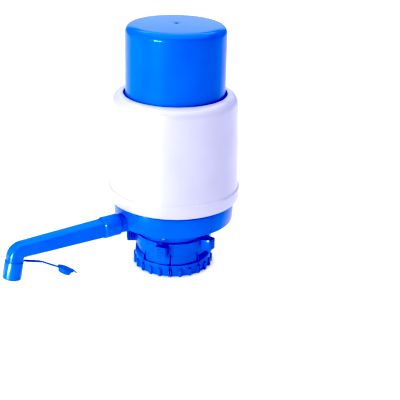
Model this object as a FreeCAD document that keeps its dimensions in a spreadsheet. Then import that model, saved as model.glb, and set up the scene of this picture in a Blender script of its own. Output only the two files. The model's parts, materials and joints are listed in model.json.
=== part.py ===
import FreeCAD, Part
import math
import os
import re
import Sketcher

# Hand pump for a water jug: a press cap drives a bellows inside a round shell, the air goes down into
# the jug and the water comes out of a side spout.  Millimetres, +Z up.  The origin is on the pump's
# axis in the plane of the collar's bottom edge, and the spout points along -Y.

doc = FreeCAD.newDocument("WaterJugHandPump")
sheet = doc.addObject("Spreadsheet::Sheet", "Sizes")

SIZES = {
    # neck collar: split barrel that grips a 55 mm crown neck
    "neckBore": 55.4, "barrelWall": 1.6, "headWall": 3.3, "headHeight": 9.6, "gripLength": 19.5,
    "seatRecess": 0.4, "collarHeight": 38.6, "flangeReach": 10.3, "collarFlangeThickness": 2.4,
    "toothCount": 24, "toothDepth": 1.4, "toothWidth": 3.0, "toothLength": 6.4, "toothEdge": 0.5,
    "slitCount": 8, "slitWidth": 1.1, "slitHeight": 25.0, "slitAzimuth": -38.0,
    "padDepth": 1.5, "padHeight": 4.6, "padAngle": 88.0, "ridgeGroove": 0.9, "padAzimuth": 54.0,
    # lock ring round the barrel
    "ringGap": 0.3, "ringWall": 1.4, "ringRise": 9.1, "ringHeight": 9.9, "ringEdge": 0.5,
    "beadHeight": 0.6, "beadWidth": 1.6, "beadGap": 0.3,
    "wingCount": 5, "wingAzimuth": 22.5, "wingLength": 6.6, "wingWidth": 8.6, "wingInset": 0.3,
    "wingFillet": 4.0, "wingEdge": 0.8, "wingRootAngle": 18.0,
    "wingRibCount": 4, "wingRibWidth": 0.9, "wingRibDepth": 0.5, "wingRibPitch": 1.9,
    "tipRibCount": 3, "tipRibWidth": 5.4, "tipRibHeight": 0.9, "tipRibDepth": 0.45, "tipRibPitch": 2.6,
    # neck gasket
    "gasketDrop": 2.1, "gasketThickness": 3.0, "gasketGap": 0.2, "gasketLip": 0.6,
    # pump base
    "skirtDrop": 3.6, "skirtInset": 1.3, "skirtDraft": 0.7, "skirtWall": 2.2, "skirtEdge": 0.9,
    "floorRise": 8.6, "floorThickness": 2.8, "seatRise": 5.9, "ledgeThickness": 1.0, "ledgeInset": 1.5,
    "bandStep": 0.5, "bandStepHeight": 0.8, "rimHeight": 7.1, "rimWall": 2.6, "rimGap": 0.3,
    "snapRise": 4.2, "snapDepth": 0.5, "snapWidth": 1.8, "snapGap": 0.15,
    "hubWall": 2.6, "seatPlate": 2.0, "noseInset": 8.8, "noseWall": 1.9, "noseLength": 1.8,
    "channelGap": 0.3, "channelRadius": 6.0, "channelCorner": 4.0, "waterBore": 6.0,
    "spigotRadius": 4.5, "spigotLength": 17.0, "spigotBossRadius": 6.5, "spigotBossRise": 0.5,
    "spigotTip": 0.8, "gussetCount": 8, "gussetThickness": 1.6, "gussetHeight": 6.0,
    "bossRadius": 3.4, "screwCount": 4, "collarScrewInset": 4.5, "clampScrewInset": 4.5,
    "clampBossHeight": 5.0,
    # outlet nipple and its seal
    "neckReach": 4.1, "neckRadius": 7.5, "nippleRadius": 4.92, "nippleLength": 11.7, "nippleChamfer": 0.5,
    "sealGrooveOffset": 4.7, "sealGrooveWidth": 1.5, "sealRoom": 0.06, "sealSection": 1.2,
    # spout
    "hubGap": 0.4, "hubFit": 0.08, "hubShell": 3.5, "hubFront": 2.5, "hubChamfer": 1.1, "hubEdge": 0.5,
    "nippleGap": 0.6, "tubeLength": 70.5, "tubeRootWidth": 12.0, "tubeRootCorner": 1.4,
    "tubeEndWidth": 11.6, "tubeEndCorner": 3.8, "elbowInner": 0.6, "nozzleTilt": 12.0,
    "nozzleBlend": 2.4, "blendFlat": 0.15, "nozzleShoulder": 0.4, "nozzleRadius": 6.05,
    "nozzleBore": 4.2, "nozzleBoreDepth": 7.0, "setbackGap": 0.3,
    # nozzle sleeve, strap and plug
    "sleeveLength": 13.5, "sleeveWall": 1.1, "sleeveFit": 0.05, "sleeveStep": 0.3, "sleeveFlare": 0.12,
    "sleeveEdge": 0.4, "mouthRelief": 0.2, "mouthDepth": 4.9,
    "strapThickness": 0.7, "strapWidth": 3.2, "strapStand": 0.05, "strapRootSlope": 18.25,
    "strapTipSlope": 31.75, "strapInnerLength": 14.4, "strapOuterLength": 15.4, "hingeTaper": 0.7,
    "hingeGap": 0.06, "hingeStand": 0.9, "plugStand": 0.6, "plugSlope": 27.6, "plugOverhang": -0.3,
    "plugThickness": 1.0, "plugFit": 0.4, "plugTaper": 0.95, "plugBossDepth": 3.2, "plugBossWall": 1.0,
    "tabLength": 3.1, "tabWidth": 5.0, "tabThickness": 0.8, "tabCurl": 1.1,
    # outer shell
    "shellWall": 2.2, "bandHeight": 9.6, "bandLedge": 0.8, "bandInset": 1.2, "sideDraft": 2.4,
    "shellHeight": 84.0, "openingGap": 1.45, "lipThickness": 2.5, "shoulderRadius": 8.0,
    "innerShoulder": 5.5, "lipEdge": 0.7,
    # press cap
    "capRise": 52.4, "capCrown": 0.9, "crownRadius": 500.0, "capDraft": 0.25, "capWall": 2.2,
    "capEdge": 6.0, "capStopGap": 0.3, "stopOverlap": 0.9, "flareGap": 0.8, "flareDrop": 4.6,
    "guideLength": 3.5, "dimpleRadius": 1.1, "dimpleDepth": 0.5, "capBossRadius": 3.2,
    "capBossCircle": 30.0, "capBossCount": 3,
    # bellows, clamp ring, top plate and return spring
    "bellowsCrest": 33.5, "foldDepth": 7.1, "bellowsWall": 1.5, "bellowsRoom": 2.3, "foldCount": 9,
    "flangeInset": 2.0, "bellowsFlangeThickness": 1.5, "bellowsRise": 2.0,
    "plateDrop": 8.4, "plateThickness": 2.5, "plateInset": 1.5, "plateGap": 0.1, "cuffWall": 1.2,
    "cuffLip": 2.4, "clampRoom": 3.0, "clampWidth": 9.5, "clampThickness": 3.0, "rimRoom": 0.9,
    "springRoom": 1.9, "springWire": 1.8, "springTurns": 6, "springGap": 0.1, "springRibWall": 1.2,
    "springRibHeight": 2.0, "springRibGap": 0.4,
    # valves
    "valveHoleCount": 6, "valveHoleRadius": 1.2, "valveHoleCircle": 8.4, "valveDisc": 6.0,
    "valveDiscThickness": 0.8, "valveCone": 0.5, "valveStem": 1.4, "valveStemGap": 0.05,
    "valveBulb": 1.9, "valveBulbLength": 1.6, "deliveryOffset": 13.2,
    # self-tapping screws
    "screwShank": 1.45, "screwHead": 2.8, "screwHeadHeight": 1.9, "screwEdge": 0.8, "screwHole": 1.7,
    "longScrew": 9.0, "shortScrew": 6.5, "recessWidth": 0.8, "recessDepth": 1.1, "recessLength": 3.0,
    "screwPilot": 1.5, "screwTip": 0.5, "pilotRoom": 1.0,
}

# Sizes that follow from those above: radii outwards from the bellows and the neck, then heights
# upwards from the collar, then places along the spout.
FOLLOWING = {
    "collarFlange": "neckBore + 2 * flangeReach",
    "noseRadius": "neckBore / 2 - noseInset",
    "collarScrewCircle": "collarFlange - 2 * collarScrewInset",
    "ringBottom": "headHeight + ringRise",
    "wingTip": "neckBore / 2 + barrelWall + ringGap + ringWall + wingLength",
    "wingHeight": "ringHeight - 2 * wingInset",
    "bellowsValley": "bellowsCrest - foldDepth",
    "plateRadius": "bellowsCrest - plateInset",
    "springRadius": "bellowsValley - bellowsWall - springRoom",
    "capRadius": "bellowsCrest + bellowsRoom + capWall",
    "openingRadius": "capRadius + capDraft + openingGap",
    "stopRadius": "openingRadius + stopOverlap",
    "clampInner": "bellowsCrest + clampRoom",
    "clampOuter": "clampInner + clampWidth",
    "clampScrewCircle": "2 * (clampOuter - clampScrewInset)",
    "bellowsFlange": "clampOuter - flangeInset",
    "bandRadius": "clampOuter + rimRoom + rimWall + rimGap + shellWall",
    "ledgeRadius": "bandRadius - ledgeInset",
    "sideLowRadius": "bandRadius - bandInset",
    "sideTopRadius": "sideLowRadius - sideDraft",
    "flareRadius": "sideTopRadius - shellWall - flareGap",
    "skirtTopRadius": "clampOuter + rimRoom + rimWall - skirtInset",
    "skirtRadius": "skirtTopRadius - skirtDraft",
    "gasketTop": "collarHeight - gasketDrop",
    "spigotBossBottom": "gasketTop + spigotBossRise",
    "spigotBottom": "spigotBossBottom - spigotLength",
    "outletHeight": "collarHeight + channelGap + channelRadius",
    "skirtBottom": "outletHeight - skirtDrop",
    "floorTop": "outletHeight + floorRise",
    "seatHeight": "floorTop + seatRise",
    "snapHeight": "seatHeight + snapRise",
    "rimTop": "seatHeight + rimHeight",
    "bandTop": "seatHeight + bandHeight",
    "shellTop": "seatHeight + shellHeight",
    "capTop": "shellTop + capRise",
    "plateTop": "capTop - capCrown - plateDrop",
    "neckEnd": "skirtTopRadius + neckReach",
    "nippleEnd": "neckEnd + nippleLength",
    "sealGrooveStart": "neckEnd + sealGrooveOffset",
    "hubBoreRadius": "nippleRadius + hubFit",
    "hubRadius": "hubBoreRadius + hubShell",
    "sealGrooveRadius": "hubBoreRadius - sealRoom - sealSection",
    "hubEnd": "nippleEnd + hubFront",
    "elbowReach": "hubEnd + tubeLength",
    "elbowRadius": "tubeEndWidth / 2 + elbowInner",
    "elbowSetback": "elbowRadius * tan((90 - nozzleTilt) / 2)",
    "nozzleLength": "elbowSetback + nozzleBlend + nozzleShoulder + sleeveLength",
    "nozzleBlendCorner": "nozzleRadius - blendFlat",
    "nozzleSetback": "mouthDepth + setbackGap",
    "sleeveRebate": "nozzleRadius - sleeveStep",
    "mouthRadius": "sleeveRebate + sleeveFit + mouthRelief",
    "strapOffset": "sleeveRebate + sleeveFit + sleeveWall + strapStand",
    "plugFlange": "2 * (sleeveRebate + sleeveFit + sleeveWall + plugOverhang)",
    "plugBossRadius": "mouthRadius - plugFit",
    "plugTipRadius": "plugBossRadius - plugTaper",
}

entries = [(name, str(number)) for name, number in SIZES.items()]
entries += [(name, "=" + formula) for name, formula in FOLLOWING.items()]
for row, (name, content) in enumerate(entries, start=1):
    sheet.set("A%d" % row, name)
    sheet.set("B%d" % row, content)
    sheet.setAlias("B%d" % row, name)
doc.recompute()
NAMES = {name for name, content in entries}


def cells(text):
    """Put the sheet's name before each size in an expression."""
    return re.sub(r"[A-Za-z]\w*", lambda word: "Sizes." + word[0] if word[0] in NAMES else word[0], text)


def value(text):
    return float(sheet.evalExpression(cells(text)))


def origin_feature(body, role):
    return next(feature for feature in body.Origin.OriginFeatures if feature.Role == role)


def new_body(label):
    body = doc.addObject("PartDesign::Body", label)
    body.Label = label
    return body


def new_sketch(body, name, plane, shift=None, turn=None):
    """A sketch on one of the body's own planes.  shift binds its offset along the plane's x, y and
    normal, and turn = (axis, angle) turns it about one of the plane's own axes."""
    sketch = body.newObject("Sketcher::SketchObject", name)
    sketch.AttachmentSupport = (origin_feature(body, plane), [""])
    sketch.MapMode = "FlatFace"
    if turn:
        axis, angle = turn
        sketch.AttachmentOffset = FreeCAD.Placement(FreeCAD.Vector(), FreeCAD.Rotation(axis, value(angle)))
        sketch.setExpression("AttachmentOffset.Rotation.Angle", cells(angle))
    for coordinate, text in zip("xyz", shift or ()):
        sketch.setExpression("AttachmentOffset.Base." + coordinate, cells(text))
    return sketch


def tie(sketch, kind, where, text):
    """Add one dimension and bind it to the sheet, or a zero as a point on the axis."""
    if kind != "Radius" and abs(value(text)) < 1e-9:
        axis_line = -2 if kind == "DistanceX" else -1
        sketch.addConstraint(Sketcher.Constraint("PointOnObject", *where, axis_line))
        return
    if kind == "Radius":
        number = sketch.addConstraint(Sketcher.Constraint(kind, where[0], value(text)))
    else:
        number = sketch.addConstraint(Sketcher.Constraint(kind, -1, 1, *where, value(text)))
    sketch.setExpression("Constraints[%d]" % number, cells(text))


def tie_point(sketch, where, corner):
    tie(sketch, "DistanceX", where, corner[0])
    tie(sketch, "DistanceY", where, corner[1])


def draw_outline(sketch, corners):
    """A closed outline of straight sides.  A corner is (x, y), or (x, y, radius) for a rounded one."""
    count = len(corners)
    spots = [FreeCAD.Vector(value(corner[0]), value(corner[1]), 0) for corner in corners]
    starts, ends, arcs = [], [], []
    for i, corner in enumerate(corners):
        before = (spots[i - 1] - spots[i]).normalize()
        after = (spots[(i + 1) % count] - spots[i]).normalize()
        if len(corner) == 2:
            ends.append(spots[i])
            starts.append(spots[i])
            arcs.append(None)
            continue
        radius = value(corner[2])
        half = before.getAngle(after) / 2
        reach = radius / math.tan(half)
        ends.append(spots[i] + before * reach)
        starts.append(spots[i] + after * reach)
        centre = spots[i] + (before + after).normalize() * (radius / math.sin(half))
        arcs.append((centre, radius, before.x * after.y - before.y * after.x < 0))
    lines = [sketch.addGeometry(Part.LineSegment(starts[i], ends[(i + 1) % count])) for i in range(count)]
    for i, corner in enumerate(corners):
        came, goes = lines[i - 1], lines[i]
        if arcs[i] is None:
            sketch.addConstraint(Sketcher.Constraint("Coincident", came, 2, goes, 1))
            tie_point(sketch, (goes, 1), corner)
            continue
        centre, radius, left_turn = arcs[i]
        first, last = (ends[i], starts[i]) if left_turn else (starts[i], ends[i])
        angles = [math.atan2(spot.y - centre.y, spot.x - centre.x) for spot in (first, last)]
        circle = Part.Circle(centre, FreeCAD.Vector(0, 0, 1), radius)
        arc = sketch.addGeometry(Part.ArcOfCircle(circle, angles[0], angles[1]))
        arc_in, arc_out = (1, 2) if left_turn else (2, 1)
        vertex = sketch.addGeometry(Part.Point(spots[i]), True)
        tie_point(sketch, (vertex, 1), corner)
        sketch.addConstraint(Sketcher.Constraint("PointOnObject", vertex, 1, came))
        sketch.addConstraint(Sketcher.Constraint("PointOnObject", vertex, 1, goes))
        sketch.addConstraint(Sketcher.Constraint("Tangent", came, 2, arc, arc_in))
        sketch.addConstraint(Sketcher.Constraint("Tangent", arc, arc_out, goes, 1))
        tie(sketch, "Radius", (arc,), corner[2])


def draw_circle(sketch, x, y, radius):
    centre = FreeCAD.Vector(value(x), value(y), 0)
    circle = sketch.addGeometry(Part.Circle(centre, FreeCAD.Vector(0, 0, 1), value(radius)))
    tie_point(sketch, (circle, 3), (x, y))
    tie(sketch, "Radius", (circle,), radius)


def turned(body, name, sketch, axis="V_Axis", angle=None, middle=True):
    """Turn a sketch about one of its own axes, a full turn unless an angle is given."""
    feature = body.newObject("PartDesign::Revolution", name)
    feature.Profile = sketch
    feature.ReferenceAxis = (sketch, [axis])
    feature.Angle = 360
    if angle:
        feature.Midplane = middle
        feature.setExpression("Angle", cells(angle))
    return feature


def raised(body, name, sketch, length, reverse=False, both=False, pocket=False):
    """Pad or pocket a sketch by a length from the sheet."""
    feature = body.newObject("PartDesign::Pocket" if pocket else "PartDesign::Pad", name)
    feature.Profile = sketch
    feature.setExpression("Length", cells(length))
    feature.Reversed = reverse
    if both:
        feature.SideType = "Symmetric"
    return feature


def repeated(body, name, features, count):
    """Repeat features round the pump's axis."""
    pattern = body.newObject("PartDesign::PolarPattern", name)
    pattern.Originals = features
    pattern.Axis = (origin_feature(body, "Z_Axis"), [""])
    pattern.Angle = 360
    pattern.setExpression("Occurrences", cells(count))
    body.Tip = pattern
    return pattern


X_AXIS = FreeCAD.Vector(1, 0, 0)
Y_AXIS = FreeCAD.Vector(0, 1, 0)
Z_AXIS = FreeCAD.Vector(0, 0, 1)

# ---- neck collar, lock ring and gasket ----

BARREL = "(neckBore / 2 + barrelWall)"
HEAD = "(neckBore / 2 + headWall)"
RING_BORE = "(%s + ringGap)" % BARREL
RING_OUTER = "(%s + ringWall)" % RING_BORE
RING_TOP = "(ringBottom + ringHeight)"
BEAD_MIDDLE = "(ringBottom + ringHeight / 2)"
FLANGE_UNDERSIDE = "(collarHeight - collarFlangeThickness)"


def draw_hole_ring(sketch, circle, count, radius, x="0", y="0"):
    """Circles evenly round a centre."""
    for i in range(round(value(count))):
        angle = "360 * %d / %s" % (i, count)
        draw_circle(sketch, "%s + %s / 2 * cos(%s)" % (x, circle, angle),
                    "%s + %s / 2 * sin(%s)" % (y, circle, angle), radius)


def make_neck_collar():
    body = new_body("neck_collar")
    section = new_sketch(body, "CollarSection", "XZ_Plane")
    groove_low = "%s - beadWidth / 2 - beadGap" % BEAD_MIDDLE
    groove_high = "%s + beadWidth / 2 + beadGap" % BEAD_MIDDLE
    draw_outline(section, [
        ("neckBore / 2", "0"), (HEAD, "0"), (HEAD, "headHeight"), (BARREL, "headHeight"),
        (BARREL, groove_low), (BARREL + " - beadHeight", groove_low),
        (BARREL + " - beadHeight", groove_high), (BARREL, groove_high), (BARREL, FLANGE_UNDERSIDE),
        ("collarFlange / 2", FLANGE_UNDERSIDE), ("collarFlange / 2", "collarHeight"),
        ("neckBore / 2 + seatRecess", "collarHeight"), ("neckBore / 2 + seatRecess", "gripLength"),
        ("neckBore / 2", "gripLength")])
    turned(body, "CollarTurned", section)

    # grip ridges on the two side sectors of the barrel
    pad = new_sketch(body, "RidgeSection", "XZ_Plane", turn=(Y_AXIS, "padAzimuth"))
    crest = BARREL + " + padDepth"
    step = "padHeight / 6"
    draw_outline(pad, [
        (BARREL + " - barrelWall / 2", "headHeight"), (crest, "headHeight"),
        (crest, "headHeight + %s" % step), (crest + " - ridgeGroove", "headHeight + 2 * %s" % step),
        (crest, "headHeight + 3 * %s" % step), (crest + " - ridgeGroove", "headHeight + 4 * %s" % step),
        (crest, "headHeight + 5 * %s" % step), (BARREL, "headHeight + padHeight"),
        (BARREL + " - barrelWall / 2", "headHeight + padHeight")])
    ridges = turned(body, "Ridges", pad, angle="padAngle")
    repeated(body, "RidgeSectors", [ridges], "2")

    tooth = new_sketch(body, "ToothOutline", "XY_Plane", turn=(Z_AXIS, "slitAzimuth"))
    root = HEAD + " - toothDepth / 2"
    tip = HEAD + " + toothDepth"
    draw_outline(tooth, [
        (root, "-toothWidth / 2"), (HEAD, "-toothWidth / 2"), (tip, "-toothWidth / 2 + toothEdge"),
        (tip, "toothWidth / 2 - toothEdge"), (HEAD, "toothWidth / 2"), (root, "toothWidth / 2")])
    teeth = raised(body, "Tooth", tooth, "toothLength")
    repeated(body, "Teeth", [teeth], "toothCount")

    slit = new_sketch(body, "SlitOutline", "XY_Plane", turn=(Z_AXIS, "slitAzimuth"))
    draw_outline(slit, [
        ("neckBore / 2 - headWall", "-slitWidth / 2"), (HEAD + " + 2 * toothDepth", "-slitWidth / 2"),
        (HEAD + " + 2 * toothDepth", "slitWidth / 2"), ("neckBore / 2 - headWall", "slitWidth / 2")])
    slits = raised(body, "Slit", slit, "slitHeight", reverse=True, pocket=True)
    repeated(body, "Slits", [slits], "slitCount")

    holes = new_sketch(body, "FlangeHoles", "XY_Plane", shift=("0", "0", FLANGE_UNDERSIDE),
                       turn=(Z_AXIS, "360 / screwCount / 2"))
    draw_hole_ring(holes, "collarScrewCircle", "screwCount", "screwHole")
    raised(body, "FlangeHole", holes, "collarFlangeThickness", reverse=True, pocket=True)


def make_lock_ring():
    body = new_body("lock_ring")
    section = new_sketch(body, "RingSection", "XZ_Plane")
    bead = RING_BORE + " - beadHeight"
    draw_outline(section, [
        (RING_BORE, "ringBottom"), (RING_OUTER, "ringBottom", "ringEdge"),
        (RING_OUTER, RING_TOP, "ringEdge"), (RING_BORE, RING_TOP),
        (RING_BORE, BEAD_MIDDLE + " + beadWidth / 2"), (bead, BEAD_MIDDLE + " + beadWidth / 2"),
        (bead, BEAD_MIDDLE + " - beadWidth / 2"), (RING_BORE, BEAD_MIDDLE + " - beadWidth / 2")])
    turned(body, "RingTurned", section)

    # one wing: square to the ring on the side that is pushed, and run into it on the other
    wing_bottom = "ringBottom + (ringHeight - wingHeight) / 2"
    azimuth = (Z_AXIS, "wingAzimuth")
    middle = "(%s + ringWall / 2)" % RING_BORE
    outline = new_sketch(body, "WingOutline", "XY_Plane", shift=("0", "0", wing_bottom), turn=azimuth)
    draw_outline(outline, [
        (middle, "wingWidth / 2"), (middle + " * cos(wingRootAngle)", "-%s * sin(wingRootAngle)" % middle),
        (RING_OUTER, "-wingWidth / 2", "wingFillet"), ("wingTip", "-wingWidth / 2", "wingEdge"),
        ("wingTip", "wingWidth / 2", "wingEdge")])
    features = [raised(body, "Wing", outline, "wingHeight")]

    ribs = new_sketch(body, "WingRibs", "XY_Plane", shift=("0", "0", wing_bottom), turn=azimuth)
    for i in range(round(value("wingRibCount"))):
        outer = "wingTip - wingEdge - %d * wingRibPitch" % i
        low, high = "wingWidth / 2 - wingRibDepth", "wingWidth / 2 + wingRibDepth"
        draw_outline(ribs, [(outer + " - wingRibWidth", low), (outer, low), (outer, high),
                            (outer + " - wingRibWidth", high)])
    features.append(raised(body, "WingRib", ribs, "wingHeight"))

    for i in range(round(value("tipRibCount"))):
        height = "%s + wingHeight / 2 + %s * tipRibPitch - tipRibHeight / 2" % (
            wing_bottom, "(%d - (tipRibCount - 1) / 2)" % i)
        grip = new_sketch(body, "TipRib%d" % i, "XY_Plane", shift=("0", "0", height), turn=azimuth)
        draw_outline(grip, [
            ("wingTip - tipRibDepth", "-tipRibWidth / 2"), ("wingTip + tipRibDepth", "-tipRibWidth / 2"),
            ("wingTip + tipRibDepth", "tipRibWidth / 2"), ("wingTip - tipRibDepth", "tipRibWidth / 2")])
        features.append(raised(body, "TipGrip%d" % i, grip, "tipRibHeight"))
    repeated(body, "Wings", features, "wingCount")


def make_neck_gasket():
    body = new_body("neck_gasket")
    section = new_sketch(body, "GasketSection", "XZ_Plane")
    inner, outer = "noseRadius + gasketGap", "neckBore / 2 - gasketGap"
    low = "gasketTop - gasketThickness"
    draw_outline(section, [
        (inner, low, "gasketLip"), (outer, low, "gasketLip"), (outer, "gasketTop"), (inner, "gasketTop")])
    turned(body, "GasketTurned", section)


# ---- pump base ----

FLOOR_UNDERSIDE = "(floorTop - floorThickness)"
RIM_OUTER = "(bandRadius - shellWall - rimGap)"
HUB = "(neckBore / 2 - gasketGap)"
NECK_SCREW_AZIMUTH = (Z_AXIS, "360 / screwCount / 2")
SPRING_RIB = "(springRadius - springWire / 2 - springRibGap)"


def spring_rib(body, name, foot, height):
    """A low round rib that centres one end of the spring."""
    section = new_sketch(body, name + "Section", "XZ_Plane")
    inner = SPRING_RIB + " - springRibWall"
    draw_outline(section, [(inner, foot), (SPRING_RIB, foot), (SPRING_RIB, height), (inner, height)])
    turned(body, name, section)


def make_pump_base():
    body = new_body("pump_base")
    section = new_sketch(body, "BaseSection", "XZ_Plane")
    ledge_low = "seatHeight - ledgeThickness"
    step_low = ledge_low + " - bandStepHeight"
    nose_inner = "noseRadius - noseWall"
    draw_outline(section, [
        ("0", "floorTop"), (RIM_OUTER + " - rimWall", "floorTop"), (RIM_OUTER + " - rimWall", "rimTop"),
        (RIM_OUTER, "rimTop"), (RIM_OUTER, "snapHeight + snapWidth / 2"),
        (RIM_OUTER + " + snapDepth", "snapHeight"), (RIM_OUTER, "snapHeight - snapWidth / 2"),
        (RIM_OUTER, "seatHeight"), ("ledgeRadius", "seatHeight"), ("ledgeRadius", ledge_low),
        ("skirtTopRadius + bandStep", ledge_low), ("skirtTopRadius + bandStep", step_low),
        ("skirtTopRadius", step_low), ("skirtRadius", "skirtBottom", "skirtEdge"),
        ("skirtRadius - skirtWall", "skirtBottom"), ("skirtTopRadius - skirtWall", FLOOR_UNDERSIDE),
        (HUB, FLOOR_UNDERSIDE), (HUB, "gasketTop"), ("noseRadius", "gasketTop"),
        ("noseRadius", "gasketTop - noseLength"), (nose_inner, "gasketTop - noseLength"),
        (nose_inner, "gasketTop + seatPlate"), (HUB + " - hubWall", "gasketTop + seatPlate"),
        (HUB + " - hubWall", FLOOR_UNDERSIDE), ("0", FLOOR_UNDERSIDE)])
    turned(body, "BaseTurned", section)
    spring_rib(body, "SpringSeat", FLOOR_UNDERSIDE, "floorTop + springRibHeight")

    gusset = new_sketch(body, "GussetOutline", "XY_Plane", turn=(Z_AXIS, "360 / gussetCount / 2"),
                        shift=("0", "0", FLOOR_UNDERSIDE + " - gussetHeight"))
    reach = "skirtRadius - skirtWall / 2"
    draw_outline(gusset, [
        (HUB + " - hubWall / 2", "-gussetThickness / 2"), (reach, "-gussetThickness / 2"),
        (reach, "gussetThickness / 2"), (HUB + " - hubWall / 2", "gussetThickness / 2")])
    gussets = raised(body, "Gusset", gusset, "gussetHeight + floorThickness / 2")
    repeated(body, "Gussets", [gussets], "gussetCount")

    collar_boss = new_sketch(body, "CollarBosses", "XY_Plane", shift=("0", "0", "collarHeight"),
                             turn=NECK_SCREW_AZIMUTH)
    draw_hole_ring(collar_boss, "collarScrewCircle", "screwCount", "bossRadius")
    raised(body, "CollarBoss", collar_boss, "%s + floorThickness / 2 - collarHeight" % FLOOR_UNDERSIDE)
    clamp_boss = new_sketch(body, "ClampBosses", "XY_Plane", turn=NECK_SCREW_AZIMUTH,
                            shift=("0", "0", FLOOR_UNDERSIDE + " - clampBossHeight"))
    draw_hole_ring(clamp_boss, "clampScrewCircle", "screwCount", "bossRadius")
    raised(body, "ClampBoss", clamp_boss, "clampBossHeight + floorThickness / 2")

    # water way: down the spigot for the dip tube, across under the floor, out through the side nipple
    channel = new_sketch(body, "ChannelOutline", "XZ_Plane", shift=("0", "0", "-spigotBossRadius"))
    channel_low = "outletHeight - channelRadius"
    draw_outline(channel, [
        ("-channelRadius", channel_low, "channelCorner"), ("channelRadius", channel_low, "channelCorner"),
        ("channelRadius", FLOOR_UNDERSIDE + " + floorThickness / 2"),
        ("-channelRadius", FLOOR_UNDERSIDE + " + floorThickness / 2")])
    raised(body, "Channel", channel, "spigotBossRadius + skirtRadius - skirtWall")
    nipple = new_sketch(body, "NippleSection", "YZ_Plane", shift=("0", "outletHeight", "0"))
    draw_outline(nipple, [
        ("-skirtRadius + 2 * skirtWall", "0"), ("-skirtRadius + 2 * skirtWall", "neckRadius"),
        ("-neckEnd", "neckRadius"), ("-neckEnd", "nippleRadius"),
        ("-sealGrooveStart", "nippleRadius"), ("-sealGrooveStart", "sealGrooveRadius"),
        ("-sealGrooveStart - sealGrooveWidth", "sealGrooveRadius"),
        ("-sealGrooveStart - sealGrooveWidth", "nippleRadius"),
        ("-nippleEnd + nippleChamfer", "nippleRadius"), ("-nippleEnd", "nippleRadius - nippleChamfer"),
        ("-nippleEnd", "0")])
    turned(body, "Nipple", nipple, axis="H_Axis")
    spigot = new_sketch(body, "SpigotSection", "XZ_Plane")
    draw_outline(spigot, [
        ("0", FLOOR_UNDERSIDE + " + floorThickness / 2"),
        ("spigotBossRadius", FLOOR_UNDERSIDE + " + floorThickness / 2"),
        ("spigotBossRadius", "spigotBossBottom"), ("spigotRadius", "spigotBossBottom"),
        ("spigotRadius", "spigotBottom + spigotTip"), ("spigotRadius - spigotTip / 2", "spigotBottom"),
        ("0", "spigotBottom")])
    turned(body, "Spigot", spigot)
    riser = new_sketch(body, "RiserOutline", "XY_Plane", shift=("0", "0", "spigotBottom"))
    draw_circle(riser, "0", "0", "waterBore / 2")
    raised(body, "Riser", riser, "outletHeight - spigotBottom", reverse=True, pocket=True)
    passage = new_sketch(body, "PassageOutline", "XZ_Plane")
    draw_circle(passage, "0", "outletHeight", "waterBore / 2")
    raised(body, "Passage", passage, "nippleEnd", reverse=True, pocket=True)

    # air way into the jug, and the pilot holes for the screws
    air = new_sketch(body, "AirHoles", "XY_Plane", shift=("0", "0", FLOOR_UNDERSIDE))
    draw_circle(air, "0", "deliveryOffset", "valveStem + valveStemGap")
    draw_hole_ring(air, "valveHoleCircle", "valveHoleCount", "valveHoleRadius", y="deliveryOffset")
    raised(body, "AirHole", air, "floorThickness", reverse=True, pocket=True)
    pilots = new_sketch(body, "CollarPilots", "XY_Plane", shift=("0", "0", "collarHeight"),
                        turn=NECK_SCREW_AZIMUTH)
    draw_hole_ring(pilots, "collarScrewCircle", "screwCount", "screwPilot")
    raised(body, "CollarPilot", pilots, "longScrew + pilotRoom - collarFlangeThickness",
           reverse=True, pocket=True)
    clamp_pilots = new_sketch(body, "ClampPilots", "XY_Plane", shift=("0", "0", "floorTop"),
                              turn=NECK_SCREW_AZIMUTH)
    draw_hole_ring(clamp_pilots, "clampScrewCircle", "screwCount", "screwPilot")
    raised(body, "ClampPilot", clamp_pilots,
           "longScrew + pilotRoom - bellowsFlangeThickness - clampThickness", pocket=True)


def make_outlet_seal():
    body = new_body("outlet_o_ring")
    section = new_sketch(body, "SealSection", "YZ_Plane", shift=("0", "outletHeight", "0"))
    draw_circle(section, "-sealGrooveStart - sealGrooveWidth / 2", "sealGrooveRadius + sealSection / 2",
                "sealSection / 2")
    turned(body, "SealTurned", section, axis="H_Axis")


# ---- shell and press cap ----

SHELL_CEILING = "(shellTop - lipThickness)"
STOP_TOP = "(%s - capStopGap)" % SHELL_CEILING
PLATE_UNDERSIDE = "(plateTop - plateThickness)"


def make_outer_shell():
    body = new_body("outer_shell")
    section = new_sketch(body, "ShellSection", "XZ_Plane")
    band_inner = "bandRadius - shellWall"
    draw_outline(section, [
        ("bandRadius", "seatHeight"), ("bandRadius", "bandTop"), ("sideLowRadius", "bandTop + bandLedge"),
        ("sideTopRadius", "shellTop", "shoulderRadius"), ("openingRadius", "shellTop", "lipEdge"),
        ("openingRadius", SHELL_CEILING), ("sideTopRadius - shellWall", SHELL_CEILING, "innerShoulder"),
        ("sideLowRadius - shellWall", "bandTop"), (band_inner, "bandTop - bandLedge"),
        (band_inner, "snapHeight + snapWidth / 2 + snapGap"), (band_inner + " + snapDepth", "snapHeight"),
        (band_inner, "snapHeight - snapWidth / 2 - snapGap"), (band_inner, "seatHeight")])
    turned(body, "ShellTurned", section)


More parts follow.
